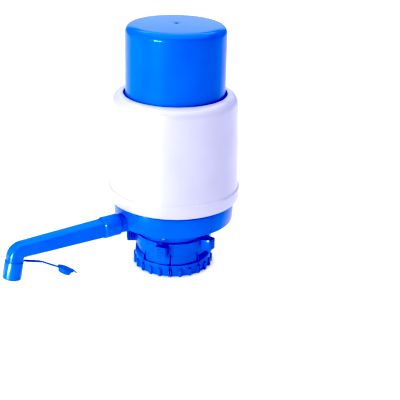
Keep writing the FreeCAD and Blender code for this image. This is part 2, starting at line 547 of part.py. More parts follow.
def make_press_cap():
    body = new_body("press_cap")
    section = new_sketch(body, "CapSection", "XZ_Plane")
    skirt = "capRadius + capDraft"
    flare_low = "%s - flareDrop - guideLength" % STOP_TOP
    draw_outline(section, [
        ("0", "capTop - dimpleDepth"), ("dimpleRadius", "capTop - dimpleDepth"), ("dimpleRadius", "capTop"),
        ("capRadius / 2", "capTop", "crownRadius"), ("capRadius", "capTop - capCrown", "capEdge"),
        (skirt, STOP_TOP), ("stopRadius", STOP_TOP), ("flareRadius", STOP_TOP + " - flareDrop"),
        ("flareRadius", flare_low), ("flareRadius - capWall", flare_low),
        ("flareRadius - capWall", STOP_TOP + " - flareDrop - capWall / 2"),
        ("stopRadius - capWall / 2", STOP_TOP + " - capWall"),
        (skirt + " - capWall", STOP_TOP + " - capWall"),
        ("capRadius - capWall", "capTop - capCrown - capWall", "capEdge - capWall"),
        ("0", "capTop - capCrown - capWall")])
    turned(body, "CapTurned", section)
    boss = new_sketch(body, "CapBosses", "XY_Plane", shift=("0", "0", "plateTop"))
    draw_hole_ring(boss, "capBossCircle", "capBossCount", "capBossRadius")
    raised(body, "CapBoss", boss, "capTop - capCrown - capWall / 2 - plateTop")
    pilots = new_sketch(body, "CapPilots", "XY_Plane", shift=("0", "0", "plateTop"))
    draw_hole_ring(pilots, "capBossCircle", "capBossCount", "screwPilot")
    raised(body, "CapPilot", pilots, "shortScrew - plateThickness + screwTip", reverse=True, pocket=True)


# ---- bellows, its clamp ring and top plate, and the return spring ----

def make_bellows():
    body = new_body("bellows")
    section = new_sketch(body, "BellowsSection", "XZ_Plane")
    flange_top = "floorTop + bellowsFlangeThickness"
    fold_start = "(%s + bellowsRise)" % flange_top
    fold_end = "(%s - plateGap - cuffWall)" % PLATE_UNDERSIDE
    pitch = "(%s - %s) / foldCount" % (fold_end, fold_start)
    folds = []
    for i in range(round(value("foldCount"))):
        folds.append(("bellowsCrest", "%s + %s * %.1f" % (fold_start, pitch, i + 0.5)))
        folds.append(("bellowsValley", "%s + %s * %d" % (fold_start, pitch, i + 1)))
    inside = [(radius + " - bellowsWall", height) for radius, height in folds[-2::-1]]
    cuff_outer = "plateRadius + plateGap + cuffWall"
    cuff_top = "plateTop + plateGap"
    draw_outline(section, [("bellowsFlange", "floorTop"), ("bellowsFlange", flange_top),
                           ("bellowsValley", flange_top), ("bellowsValley", fold_start)] + folds + [
        (cuff_outer, fold_end), (cuff_outer, cuff_top + " + cuffWall"),
        ("plateRadius - cuffLip", cuff_top + " + cuffWall"), ("plateRadius - cuffLip", cuff_top),
        ("plateRadius + plateGap", cuff_top), ("plateRadius + plateGap", PLATE_UNDERSIDE + " - plateGap"),
        ("bellowsValley - bellowsWall", PLATE_UNDERSIDE + " - plateGap"),
        ("bellowsValley - bellowsWall", fold_end)] + inside + [
        ("bellowsValley - bellowsWall", fold_start), ("bellowsValley - bellowsWall", "floorTop")])
    turned(body, "BellowsTurned", section)
    holes = new_sketch(body, "BellowsHoles", "XY_Plane", shift=("0", "0", "floorTop"),
                       turn=NECK_SCREW_AZIMUTH)
    draw_hole_ring(holes, "clampScrewCircle", "screwCount", "screwHole")
    raised(body, "BellowsHole", holes, "bellowsFlangeThickness", reverse=True, pocket=True)


def make_bellows_clamp_ring():
    body = new_body("bellows_clamp_ring")
    outline = new_sketch(body, "ClampOutline", "XY_Plane", turn=NECK_SCREW_AZIMUTH,
                         shift=("0", "0", "floorTop + bellowsFlangeThickness"))
    draw_circle(outline, "0", "0", "clampOuter")
    draw_circle(outline, "0", "0", "clampInner")
    draw_hole_ring(outline, "clampScrewCircle", "screwCount", "screwHole")
    raised(body, "ClampRing", outline, "clampThickness")


def make_bellows_top_plate():
    body = new_body("bellows_top_plate")
    outline = new_sketch(body, "PlateOutline", "XY_Plane", shift=("0", "0", PLATE_UNDERSIDE))
    draw_circle(outline, "0", "0", "plateRadius")
    draw_hole_ring(outline, "capBossCircle", "capBossCount", "screwHole")
    draw_circle(outline, "0", "0", "valveStem + valveStemGap")
    draw_hole_ring(outline, "valveHoleCircle", "valveHoleCount", "valveHoleRadius")
    raised(body, "Plate", outline, "plateThickness")
    spring_rib(body, "SpringSeat", PLATE_UNDERSIDE + " + plateThickness / 2",
               PLATE_UNDERSIDE + " - springRibHeight")


def make_return_spring():
    body = new_body("return_spring")
    low = "floorTop + springWire / 2 + springGap"
    high = "%s - springWire / 2 - springGap" % PLATE_UNDERSIDE
    wire = new_sketch(body, "WireSection", "XZ_Plane")
    draw_circle(wire, "springRadius", low, "springWire / 2")
    coil = body.newObject("PartDesign::AdditiveHelix", "Coil")
    coil.Profile = wire
    coil.ReferenceAxis = (wire, ["V_Axis"])
    coil.Mode = "height-turns-angle"
    coil.setExpression("Height", cells("%s - (%s)" % (high, low)))
    coil.setExpression("Turns", cells("springTurns"))


# ---- valves ----

def make_umbrella_valve(label, underside, thickness, offset):
    """A rubber umbrella under a plate, its stem pulled through with a bulb above."""
    body = new_body(label)
    section = new_sketch(body, "ValveSection", "XZ_Plane", shift=("0", "0", "-(%s)" % offset))
    top = "%s + %s" % (underside, thickness)
    rim = "%s - valveDiscThickness" % underside
    draw_outline(section, [
        ("0", rim + " - valveCone"), ("2 * valveStem", rim + " - valveCone"), ("valveDisc", rim),
        ("valveDisc", underside), ("valveStem", underside), ("valveStem", top), ("valveBulb", top),
        ("valveBulb", top + " + valveBulbLength / 2"), ("valveStem / 2", top + " + valveBulbLength"),
        ("0", top + " + valveBulbLength")])
    turned(body, "ValveTurned", section)


# ---- screws ----

def make_screws(label, circle, count, azimuth, seat, length, side):
    """A ring of self-tapping screws.  side is +1 for heads on top and -1 for heads underneath."""
    body = new_body(label)
    body.AllowCompound = True
    x = "%s / 2 * cos(%s)" % (circle, azimuth)
    y = "%s / 2 * sin(%s)" % (circle, azimuth)
    section = new_sketch(body, "ScrewSection", "XZ_Plane", shift=(x, "0", "-(%s)" % y))
    head = "%s + %d * screwHeadHeight" % (seat, side)
    tip = "%s - %d * %s" % (seat, side, length)
    draw_outline(section, [
        ("0", head), ("screwHead", head, "screwEdge"), ("screwHead", seat), ("screwShank", seat),
        ("screwShank", "%s + %d * screwTip" % (tip, side)), ("screwShank - screwTip", tip), ("0", tip)])
    features = [turned(body, "Screw", section)]
    recess = new_sketch(body, "RecessOutline", "XY_Plane", shift=(x, y, head))
    wide, narrow = "recessLength / 2", "recessWidth / 2"
    draw_outline(recess, [
        (wide, narrow), (narrow, narrow), (narrow, wide), ("-" + narrow, wide), ("-" + narrow, narrow),
        ("-" + wide, narrow), ("-" + wide, "-" + narrow), ("-" + narrow, "-" + narrow),
        ("-" + narrow, "-" + wide), (narrow, "-" + wide), (narrow, "-" + narrow), (wide, "-" + narrow)])
    features.append(raised(body, "Recess", recess, "recessDepth", reverse=side < 0, pocket=True))
    repeated(body, "Screws", features, count)


# ---- spout, nozzle sleeve, strap and plug ----

SLEEVE_START = "(nozzleLength - sleeveLength)"
ROOT_Y = ("(-elbowReach - (%s + strapThickness / 2) * sin(nozzleTilt) + strapOffset * cos(nozzleTilt)"
          " + hingeStand * cos(strapRootSlope))" % SLEEVE_START)
ROOT_Z = ("(outletHeight - (%s + strapThickness / 2) * cos(nozzleTilt) - strapOffset * sin(nozzleTilt)"
          " - hingeStand * sin(strapRootSlope))" % SLEEVE_START)
FOLD_Y = "(%s + strapInnerLength * cos(strapRootSlope))" % ROOT_Y
FOLD_Z = "(%s - strapInnerLength * sin(strapRootSlope))" % ROOT_Z
TIP_Y = "(%s + strapOuterLength * cos(strapTipSlope))" % FOLD_Y
TIP_Z = "(%s - strapOuterLength * sin(strapTipSlope))" % FOLD_Z


def draw_rounded_square(sketch, width, corner):
    half = "%s / 2" % width
    draw_outline(sketch, [(half, half, corner), ("-" + half, half, corner), ("-" + half, "-" + half, corner),
                          (half, "-" + half, corner)])


def lofted(body, name, sketches):
    feature = body.newObject("PartDesign::AdditiveLoft", name)
    feature.Profile = sketches[0]
    feature.Sections = sketches[1:]
    return feature


def nozzle_plane(body, name, distance):
    """A sketch across the nozzle, a distance along it from the elbow's corner."""
    return new_sketch(body, name, "XY_Plane", turn=(X_AXIS, "-nozzleTilt"),
                      shift=("0", "-elbowReach - %s * sin(nozzleTilt)" % distance,
                             "outletHeight - %s * cos(nozzleTilt)" % distance))


def nozzle_section(body, name):
    """A sketch through the nozzle's axis: x across the nozzle, -y along it."""
    return new_sketch(body, name, "YZ_Plane", turn=(Z_AXIS, "-nozzleTilt"),
                      shift=("-elbowReach", "outletHeight", "0"))


def make_spout():
    body = new_body("spout")
    hub = new_sketch(body, "HubSection", "YZ_Plane", shift=("0", "outletHeight", "0"))
    hub_start = "-neckEnd - hubGap"
    bore_end = "-nippleEnd - nippleGap"
    draw_outline(hub, [
        (hub_start, "hubBoreRadius"), (hub_start, "hubRadius", "hubEdge"),
        ("-hubEnd + hubChamfer", "hubRadius"), ("-hubEnd", "hubRadius - hubChamfer"), ("-hubEnd", "0"),
        (bore_end, "0"), (bore_end, "hubBoreRadius")])
    turned(body, "HubTurned", hub, axis="H_Axis")

    elbow_start = "elbowReach - elbowSetback"
    root = new_sketch(body, "TubeRoot", "XZ_Plane", shift=("0", "outletHeight", "hubEnd - nippleGap"))
    draw_rounded_square(root, "tubeRootWidth", "tubeRootCorner")
    tube_end = new_sketch(body, "TubeEnd", "XZ_Plane", shift=("0", "outletHeight", elbow_start))
    draw_rounded_square(tube_end, "tubeEndWidth", "tubeEndCorner")
    lofted(body, "Tube", [root, tube_end])

    elbow = new_sketch(body, "ElbowSection", "XZ_Plane",
                       shift=("0", "outletHeight - elbowRadius", elbow_start))
    half = "tubeEndWidth / 2"
    draw_outline(elbow, [(half, "elbowRadius + " + half, "tubeEndCorner"),
                         ("-" + half, "elbowRadius + " + half, "tubeEndCorner"),
                         ("-" + half, "elbowRadius - " + half, "tubeEndCorner"),
                         (half, "elbowRadius - " + half, "tubeEndCorner")])
    turned(body, "Elbow", elbow, axis="H_Axis", angle="90 - nozzleTilt", middle=False)

    blend_start = nozzle_plane(body, "BlendStart", "elbowSetback")
    draw_rounded_square(blend_start, "tubeEndWidth", "tubeEndCorner")
    blend_end = nozzle_plane(body, "BlendEnd", "(elbowSetback + nozzleBlend)")
    draw_rounded_square(blend_end, "(2 * nozzleRadius)", "nozzleBlendCorner")
    lofted(body, "Blend", [blend_start, blend_end])

    nozzle = nozzle_section(body, "NozzleSection")
    start = "-elbowSetback - nozzleBlend"
    end = "-nozzleLength + nozzleSetback"
    draw_outline(nozzle, [("0", start), ("nozzleRadius", start), ("nozzleRadius", "-" + SLEEVE_START),
                          ("sleeveRebate", "-" + SLEEVE_START), ("sleeveRebate", end), ("0", end)])
    turned(body, "Nozzle", nozzle)

    path = new_sketch(body, "WaterPath", "YZ_Plane")
    draw_path(path)
    mouth = new_sketch(body, "WaterBore", "XZ_Plane", shift=("0", "outletHeight", "nippleEnd"))
    draw_circle(mouth, "0", "0", "waterBore / 2")
    bore = body.newObject("PartDesign::SubtractivePipe", "WaterWay")
    bore.Profile = mouth
    bore.Spine = path
    jet = nozzle_plane(body, "JetOutline", "(nozzleLength - nozzleSetback)")
    draw_circle(jet, "0", "0", "nozzleBore")
    raised(body, "JetBore", jet, "nozzleBoreDepth", reverse=True, pocket=True)


def draw_path(sketch):
    """The water's path: along the tube, round the elbow and down the nozzle."""
    corner = FreeCAD.Vector(value("-elbowReach"), value("outletHeight"), 0)
    tilt = math.radians(value("nozzleTilt"))
    down = FreeCAD.Vector(-math.sin(tilt), -math.cos(tilt), 0)
    reach = value("elbowSetback")
    start = FreeCAD.Vector(value("-nippleEnd"), corner.y, 0)
    end = corner + down * value("nozzleLength - nozzleSetback")
    bend_start, bend_end = corner + FreeCAD.Vector(reach, 0, 0), corner + down * reach
    radius = value("elbowRadius")
    centre = bend_start - FreeCAD.Vector(0, radius, 0)
    circle = Part.Circle(centre, FreeCAD.Vector(0, 0, 1), radius)
    along = sketch.addGeometry(Part.LineSegment(start, bend_start))
    bend = sketch.addGeometry(Part.ArcOfCircle(circle, math.pi / 2, math.pi / 2 + math.pi / 2 - tilt))
    drop = sketch.addGeometry(Part.LineSegment(bend_end, end))
    vertex = sketch.addGeometry(Part.Point(corner), True)
    tie_point(sketch, (along, 1), ("-nippleEnd", "outletHeight"))
    tie_point(sketch, (vertex, 1), ("-elbowReach", "outletHeight"))
    sketch.addConstraint(Sketcher.Constraint("Horizontal", along))
    sketch.addConstraint(Sketcher.Constraint("Tangent", along, 2, bend, 1))
    sketch.addConstraint(Sketcher.Constraint("Tangent", bend, 2, drop, 1))
    sketch.addConstraint(Sketcher.Constraint("PointOnObject", vertex, 1, drop))
    tie(sketch, "Radius", (bend,), "elbowRadius")
    tie_point(sketch, (drop, 2), (
        "-elbowReach - (nozzleLength - nozzleSetback) * sin(nozzleTilt)",
        "outletHeight - (nozzleLength - nozzleSetback) * cos(nozzleTilt)"))


def make_nozzle_sleeve():
    body = new_body("nozzle_sleeve")
    section = nozzle_section(body, "SleeveSection")
    inner = "sleeveRebate + sleeveFit"
    outer = "%s + sleeveWall" % inner
    draw_outline(section, [
        (inner, "-" + SLEEVE_START), (outer, "-" + SLEEVE_START, "sleeveEdge"),
        (outer + " + sleeveFlare", "-nozzleLength", "sleeveEdge"), ("mouthRadius", "-nozzleLength"),
        ("mouthRadius", "-nozzleLength + mouthDepth"), (inner, "-nozzleLength + mouthDepth")])
    turned(body, "SleeveTurned", section)
    lug = new_sketch(body, "StrapLug", "YZ_Plane", shift=(ROOT_Y, ROOT_Z, "0"),
                     turn=(Z_AXIS, "-strapRootSlope"))
    half = "strapThickness / 2"
    draw_outline(lug, [("-hingeGap / 2", "0"), ("-hingeTaper", half), ("-hingeStand - sleeveWall", half),
                       ("-hingeStand - sleeveWall", "-" + half), ("-hingeTaper", "-" + half)])
    raised(body, "Lug", lug, "strapWidth", both=True)


def make_strap_link(label, y, z, slope, length):
    """One flat link of the strap, thinned to an edge at both creases."""
    body = new_body(label)
    outline = new_sketch(body, "LinkOutline", "YZ_Plane", shift=(y, z, "0"), turn=(Z_AXIS, "-" + slope))
    half = "strapThickness / 2"
    draw_outline(outline, [
        ("hingeGap / 2", "0"), ("hingeTaper", half), (length + " - hingeTaper", half),
        (length + " - hingeGap / 2", "0"), (length + " - hingeTaper", "-" + half),
        ("hingeTaper", "-" + half)])
    raised(body, "Link", outline, "strapWidth", both=True)


def make_nozzle_plug():
    body = new_body("nozzle_plug")
    reach = "(plugStand + plugFlange / 2)"
    section = new_sketch(body, "PlugSection", "YZ_Plane", turn=(Z_AXIS, "-plugSlope"),
                         shift=("%s + %s * cos(plugSlope)" % (TIP_Y, reach),
                                "%s - %s * sin(plugSlope)" % (TIP_Z, reach), "0"))
    half = "plugThickness / 2"
    boss_end = "-%s - plugBossDepth" % half
    draw_outline(section, [
        ("0", half), ("plugFlange / 2", half), ("plugFlange / 2", "-" + half), ("plugBossRadius", "-" + half),
        ("plugTipRadius", boss_end), ("plugTipRadius - plugBossWall", boss_end),
        ("plugBossRadius - plugBossWall", "-" + half), ("0", "-" + half)])
    turned(body, "PlugTurned", section)
    stub = new_sketch(body, "StubOutline", "YZ_Plane", shift=(TIP_Y, TIP_Z, "0"),
                      turn=(Z_AXIS, "-plugSlope"))
    thin = "strapThickness / 2"
    draw_outline(stub, [("hingeGap / 2", "0"), ("hingeTaper", thin), ("plugStand + plugThickness", thin),
                        ("plugStand + plugThickness", "-" + thin), ("hingeTaper", "-" + thin)])
    raised(body, "Stub", stub, "strapWidth", both=True)
    tab = new_sketch(body, "TabOutline", "YZ_Plane", shift=(TIP_Y, TIP_Z, "0"),
                     turn=(Z_AXIS, "-plugSlope"))
    edge = "plugStand + plugFlange"
    tip = edge + " + tabLength"
    draw_outline(tab, [
        (edge + " - plugThickness", "tabThickness / 2"), (edge + " + tabLength / 3", "tabThickness / 2"),
        (tip, "tabThickness / 2 - tabCurl"), (tip + " - tabThickness / 2", "-tabThickness / 2 - tabCurl"),
        (edge + " + tabLength / 4", "-tabThickness / 2"), (edge + " - plugThickness", "-tabThickness / 2")])
    raised(body, "PullTab", tab, "tabWidth", both=True)


make_neck_collar()
make_lock_ring()
make_neck_gasket()
make_pump_base()
make_outlet_seal()
make_outer_shell()
make_press_cap()
make_bellows()
make_bellows_clamp_ring()
make_bellows_top_plate()
make_return_spring()
make_umbrella_valve("intake_valve", PLATE_UNDERSIDE, "plateThickness", "0")
make_umbrella_valve("delivery_valve", FLOOR_UNDERSIDE, "floorThickness", "deliveryOffset")
make_screws("collar_screws", "collarScrewCircle", "screwCount", "360 / screwCount / 2",
            FLANGE_UNDERSIDE, "longScrew", -1)
make_screws("clamp_screws", "clampScrewCircle", "screwCount", "360 / screwCount / 2",
            "floorTop + bellowsFlangeThickness + clampThickness", "longScrew", 1)
make_screws("plate_screws", "capBossCircle", "capBossCount", "0", PLATE_UNDERSIDE, "shortScrew", -1)
make_spout()
make_nozzle_sleeve()
make_strap_link("strap_inner", ROOT_Y, ROOT_Z, "strapRootSlope", "strapInnerLength")
make_strap_link("strap_outer", FOLD_Y, FOLD_Z, "strapTipSlope", "strapOuterLength")
make_nozzle_plug()
doc.recompute()

bodies = [item for item in doc.Objects if item.TypeId == "PartDesign::Body"]
for item in doc.Objects:
    if "Invalid" in item.State or "Error" in item.State:
        raise RuntimeError("%s is in state %s" % (item.Name, item.State))
for body in bodies:
    if body.Shape.isNull() or not body.Shape.isValid():
        raise RuntimeError("%s has no valid shape" % body.Label)

os.makedirs("parts", exist_ok=True)
for body in bodies:
    body.Shape.exportStep("parts/%s.step" % body.Label)
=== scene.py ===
import json
import math

import bmesh
import bpy
from mathutils import Matrix, Vector


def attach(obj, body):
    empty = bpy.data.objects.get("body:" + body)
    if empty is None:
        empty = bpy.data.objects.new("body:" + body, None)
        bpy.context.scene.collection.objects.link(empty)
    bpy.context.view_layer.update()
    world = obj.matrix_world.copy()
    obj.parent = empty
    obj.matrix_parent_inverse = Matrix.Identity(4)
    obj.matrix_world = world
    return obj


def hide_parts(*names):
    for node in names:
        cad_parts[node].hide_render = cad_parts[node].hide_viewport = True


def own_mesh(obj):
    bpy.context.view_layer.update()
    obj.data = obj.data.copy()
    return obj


# Dresses a hand pump for a water jug: moulded blue cap, base, collar and spout round a white shell, with
# the soft strap and plug, the bellows and its spring inside.  Metres, +Z up, spout along -Y.

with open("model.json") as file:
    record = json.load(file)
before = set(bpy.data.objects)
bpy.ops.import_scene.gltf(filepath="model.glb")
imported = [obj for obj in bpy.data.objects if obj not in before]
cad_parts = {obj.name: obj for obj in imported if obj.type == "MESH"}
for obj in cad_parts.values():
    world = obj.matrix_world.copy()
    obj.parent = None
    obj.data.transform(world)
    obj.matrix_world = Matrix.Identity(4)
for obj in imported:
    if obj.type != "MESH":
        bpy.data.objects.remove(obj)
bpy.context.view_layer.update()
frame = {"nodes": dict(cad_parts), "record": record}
MM = 0.001


# ---- colours and materials ----

def colour(hex_code):
    """An sRGB hex value as linear red, green, blue and alpha."""
    parts = [int(hex_code[i:i + 2], 16) / 255 for i in (0, 2, 4)]
    return [part / 12.92 if part <= 0.04045 else ((part + 0.055) / 1.055) ** 2.4 for part in parts] + [1.0]


def add_node(tree, kind, links=(), **settings):
    """Add a node, set its inputs or properties by name, and link the given sockets into its inputs."""
    node = tree.nodes.new(kind)
    for name, value in settings.items():
        socket = node.inputs.get(name.replace("_", " "))
        if socket is not None:
            socket.default_value = value
        else:
            setattr(node, name, value)
    for socket, name in links:
        tree.links.new(socket, node.inputs[name])
    return node


def new_material(name):
    """A material with its tree, its shader and the place on the piece that its textures follow."""
    material = bpy.data.materials.new(name)
    material.use_nodes = True
    tree = material.node_tree
    shader = next(node for node in tree.nodes if node.type == "BSDF_PRINCIPLED")
    place = add_node(tree, "ShaderNodeTexCoord").outputs["Object"]
    return material, tree, shader, place


def two_tone(tree, factor, dark, light):
    """A ramp from a darker to a lighter shade of the same material."""
    ramp = add_node(tree, "ShaderNodeValToRGB", links=[(factor, "Fac")])
    ramp.color_ramp.elements[0].color = colour(dark)
    ramp.color_ramp.elements[1].color = colour(light)
    ramp.color_ramp.elements[0].position = 0.3
    ramp.color_ramp.elements[1].position = 0.7
    return ramp.outputs["Color"]


IOR_OF_PLASTIC = 1.49
RIPPLE_STRENGTH = 0.12
RIPPLE_DEPTH = 0.4 * MM
COAT_ROUGHNESS = 0.03


def moulded_plastic(name, dark, light, gloss, coat=0.0, shine=0.5, tint="FFFFFF"):
    """Plastic from a polished tool: flow marks a shade apart, a faint ripple, a fine grain in the gloss."""
    material, tree, shader, place = new_material(name)
    # flow marks a few centimetres long
    flow = add_node(tree, "ShaderNodeTexNoise", links=[(place, "Vector")], Scale=38.0, Detail=2.0)
    tree.links.new(two_tone(tree, flow.outputs["Fac"], dark, light), shader.inputs["Base Color"])
    # a grain that makes the gloss a little uneven, from 85 to 120 percent of its roughness
    fine = add_node(tree, "ShaderNodeTexNoise", links=[(place, "Vector")], Scale=1600.0, Detail=3.0)
    rough = add_node(tree, "ShaderNodeMapRange", links=[(fine.outputs["Fac"], "Value")])
    rough.inputs["To Min"].default_value = gloss * 0.85
    rough.inputs["To Max"].default_value = gloss * 1.2
    tree.links.new(rough.outputs["Result"], shader.inputs["Roughness"])
    # the slight waviness of a moulded wall, which only the sheen shows
    waves = add_node(tree, "ShaderNodeTexNoise", links=[(place, "Vector")], Scale=85.0, Detail=1.0)
    bump = add_node(tree, "ShaderNodeBump", links=[(waves.outputs["Fac"], "Height")],
                    Strength=RIPPLE_STRENGTH, Distance=RIPPLE_DEPTH)
    tree.links.new(bump.outputs["Normal"], shader.inputs["Normal"])
    shader.inputs["IOR"].default_value = IOR_OF_PLASTIC
    shader.inputs["Specular IOR Level"].default_value = shine
    shader.inputs["Specular Tint"].default_value = colour(tint)
    shader.inputs["Coat Weight"].default_value = coat
    shader.inputs["Coat Roughness"].default_value = COAT_ROUGHNESS
    return material


def drawn_steel(name, dark, light, gloss):
    """Drawn or plated steel: a fine uneven surface that breaks up the highlight."""
    material, tree, shader, place = new_material(name)
    grain = add_node(tree, "ShaderNodeTexNoise", links=[(place, "Vector")], Scale=900.0, Detail=4.0)
    tree.links.new(two_tone(tree, grain.outputs["Fac"], dark, light), shader.inputs["Base Color"])
    bump = add_node(tree, "ShaderNodeBump", links=[(grain.outputs["Fac"], "Height")],
                    Strength=0.15, Distance=0.05 * MM)
    tree.links.new(bump.outputs["Normal"], shader.inputs["Normal"])
    shader.inputs["Metallic"].default_value = 1.0
    shader.inputs["Roughness"].default_value = gloss
    return material


# strong clear blue: a broad blue-tinted sheen under a small sharp highlight
BLUE = moulded_plastic("blue glossy moulded polypropylene", "0068C6", "006ECC", 0.3,
                       coat=0.35, shine=0.18, tint="40B0FF")
# the same blue with a wetter skin, which draws a thin bright streak down a round tube
SOFT_BLUE = moulded_plastic("blue soft moulded polyethylene", "0068C6", "0070CE", 0.36,
                            coat=0.6, shine=0.18, tint="40B0FF")
# thin flexible strips: a darker, duller blue with no pale edge
MATT_BLUE = moulded_plastic("blue matt moulded polyethylene", "0064BA", "006CC2", 0.5,
                            shine=0.15, tint="40B0FF")
# cool white that shades to a faint lilac grey away from the light
WHITE = moulded_plastic("white glossy moulded polypropylene", "C3C5CB", "C9CBD1", 0.3, coat=0.3)
# cloudy off-white with a soft sheen
MILKY = moulded_plastic("milky blow-moulded polyethylene", "C8C8C0", "D4D4CC", 0.42)
# dull grey rubber
SILICONE = moulded_plastic("translucent grey silicone rubber", "B4B8B8", "C2C6C6", 0.5)
# dark screw heads that don't sparkle
SCREW_STEEL = drawn_steel("dull dark-plated screw steel", "50545A", "686C72", 0.55)
# bright wire
STAINLESS = drawn_steel("drawn stainless spring wire", "9C9EA2", "BCBEC2", 0.22)

FINISHES = {
    "blue_plastic": BLUE, "blue_soft_plastic": SOFT_BLUE, "white_plastic": WHITE,
    "bellows_plastic": MILKY, "silicone": SILICONE, "screw_steel": SCREW_STEEL, "spring_steel": STAINLESS,
}

SLOT_OF = {part["node"]: part["material_slot"] for part in frame["record"]["subparts"]}
BODY_OF = {node: body for body, nodes in frame["record"]["behaviour"]["bodies"].items() for node in nodes}


def give_finish(piece, material):
    piece.data.materials.clear()
    piece.data.materials.append(material)


for name, node in frame["nodes"].items():
    give_finish(node, FINISHES[SLOT_OF[name]])


# ---- modelling helpers: all sizes in millimetres ----

UP = Vector((0, 0, 1))
OUT = Vector((1, 0, 0))
FORWARD = Vector((0, -1, 0))
SAME_SPOT = 0.001


def leave_edit():
    if bpy.context.mode != "OBJECT":
        bpy.ops.object.mode_set(mode="OBJECT")


def pick(*pieces):
    """Leave edit mode and select these pieces alone, the first one active."""
    leave_edit()
    bpy.ops.object.select_all(action="DESELECT")
    for piece in pieces:
        piece.select_set(True)
    bpy.context.view_layer.objects.active = pieces[0]


def begin(name, add, **settings):
    """Add a primitive with nothing else selected and open it in edit mode, all selected."""
    leave_edit()
    bpy.ops.object.select_all(action="DESELECT")
    add(**settings)
    piece = bpy.context.object
    piece.name = piece.data.name = name
    bpy.ops.object.mode_set(mode="EDIT")
    bpy.ops.mesh.select_mode(type="VERT")
    bpy.ops.mesh.select_all(action="SELECT")
    return piece


def reopen(piece):
    """Open one finished solid in edit mode again."""
    pick(piece)
    bpy.ops.object.mode_set(mode="EDIT")


def join(first, *others):
    """Join pieces into the first one, as loose shells of one mesh."""
    pick(first, *others)
    bpy.ops.object.join()
    return first


def settle(piece):
    """Leave edit mode with the piece's place and turn in its mesh."""
    pick(piece)
    bpy.ops.object.transform_apply(location=True, rotation=True, scale=True)


def close(piece, angle=35.0):
    """Finish a piece: its place in the mesh, shaded smooth over edges softer than the angle."""
    settle(piece)
    bpy.ops.object.shade_smooth_by_angle(angle=math.radians(angle))
    return piece


def select(piece, kind, test):
    """Select the vertices, edges or faces whose middle, in millimetres, passes the test."""
    bpy.ops.mesh.select_mode(type={"verts": "VERT", "edges": "EDGE", "faces": "FACE"}[kind])
    bpy.ops.mesh.select_all(action="DESELECT")
    mesh = bmesh.from_edit_mesh(piece.data)
    for item in getattr(mesh, kind):
        corners = [item] if kind == "verts" else item.verts
        middle = sum((corner.co for corner in corners), Vector()) / len(corners)
        item.select_set(test(middle / MM))
    mesh.select_flush_mode()
    bmesh.update_edit_mesh(piece.data)


def tidy_mesh():
    """Merge doubled points and turn all faces outwards."""
    bpy.ops.mesh.select_mode(type="VERT")
    bpy.ops.mesh.select_all(action="SELECT")
    bpy.ops.mesh.remove_doubles(threshold=SAME_SPOT * MM)
    bpy.ops.mesh.normals_make_consistent(inside=False)


def draw_outline(name, corners, centre=(0, 0, 0), across=OUT, along=UP, fine=1.0):
    """Draw a closed flat outline point by point.  A corner is (across, along), with a radius to round it."""
    across, along, centre = Vector(across), Vector(along), Vector(centre)
    spots = [(centre + across * corner[0] + along * corner[1]) * MM for corner in corners]
    piece = begin(name, bpy.ops.mesh.primitive_plane_add, size=MM)
    bpy.ops.mesh.merge(type="CENTER")
    bpy.ops.transform.translate(value=spots[0])
    for before, after in zip(spots, spots[1:]):
        bpy.ops.mesh.extrude_region_move(TRANSFORM_OT_translate={"value": after - before})
    bpy.ops.mesh.select_mode(type="VERT")
    bpy.ops.mesh.select_all(action="SELECT")
    bpy.ops.mesh.edge_face_add()
    for i, corner in enumerate(corners):
        if len(corner) > 2:
            radius = corner[2]
            back = (spots[i - 1] - spots[i]).normalized()
            ahead = (spots[(i + 1) % len(spots)] - spots[i]).normalized()
            turn = math.pi - back.angle(ahead)
            select(piece, "verts", lambda middle, spot=spots[i] / MM: (middle - spot).length < SAME_SPOT)
            bpy.ops.mesh.bevel(offset=radius * math.tan(turn / 2) * MM, offset_type="OFFSET",
                               segments=max(2, round(fine * turn * (2 + radius))), affect="VERTICES")
    return piece


def turn_profile(name, corners, centre=(0, 0, 0), across=OUT, along=UP, steps=144, turn=360.0, fine=1.0):
    """Spin an outline about the line through centre along "along"; at 360 degrees it closes on itself."""
    piece = draw_outline(name, corners, centre, across, along, fine)
    middle, axis = Vector(centre), Vector(along)

    def on_axis(spot):
        return ((spot - middle) - axis * (spot - middle).dot(axis)).length < SAME_SPOT

    if turn == 360.0:
        bpy.ops.mesh.select_all(action="SELECT")
        bpy.ops.mesh.delete(type="ONLY_FACE")
        mesh = bmesh.from_edit_mesh(piece.data)
        if any(all(on_axis(corner.co / MM) for corner in edge.verts) for edge in mesh.edges):
            select(piece, "edges", on_axis)
            bpy.ops.mesh.delete(type="EDGE")
    bpy.ops.mesh.select_mode(type="VERT")
    bpy.ops.mesh.select_all(action="SELECT")
    bpy.ops.mesh.spin(steps=steps, angle=math.radians(turn), center=middle * MM, axis=-axis)
    tidy_mesh()
    return piece


def raise_outline(name, corners, depth, centre=(0, 0, 0), across=OUT, along=UP, fine=1.0):
    """Pull a flat outline into a solid, by depth along its normal (across x along)."""
    piece = draw_outline(name, corners, centre, across, along, fine)
    normal = Vector(across).cross(Vector(along))
    bpy.ops.mesh.select_all(action="SELECT")
    bpy.ops.mesh.extrude_region_move(TRANSFORM_OT_translate={"value": normal * depth * MM})
    tidy_mesh()
    return piece


def block(low, high):
    """A plain box between two corners, as a start for a rib or a cutter."""
    piece = begin("block", bpy.ops.mesh.primitive_cube_add, size=MM)
    bpy.ops.transform.resize(value=[b - a for a, b in zip(low, high)])
    bpy.ops.transform.translate(value=[(a + b) / 2 * MM for a, b in zip(low, high)])
    return piece


def finish_with(piece, kind, **settings):
    """Add a modifier and apply it."""
    leave_edit()
    bpy.context.view_layer.objects.active = piece
    modifier = piece.modifiers.new(kind.lower(), kind)
    for name, value in settings.items():
        setattr(modifier, name, value)
    bpy.ops.object.modifier_apply(modifier=modifier.name)


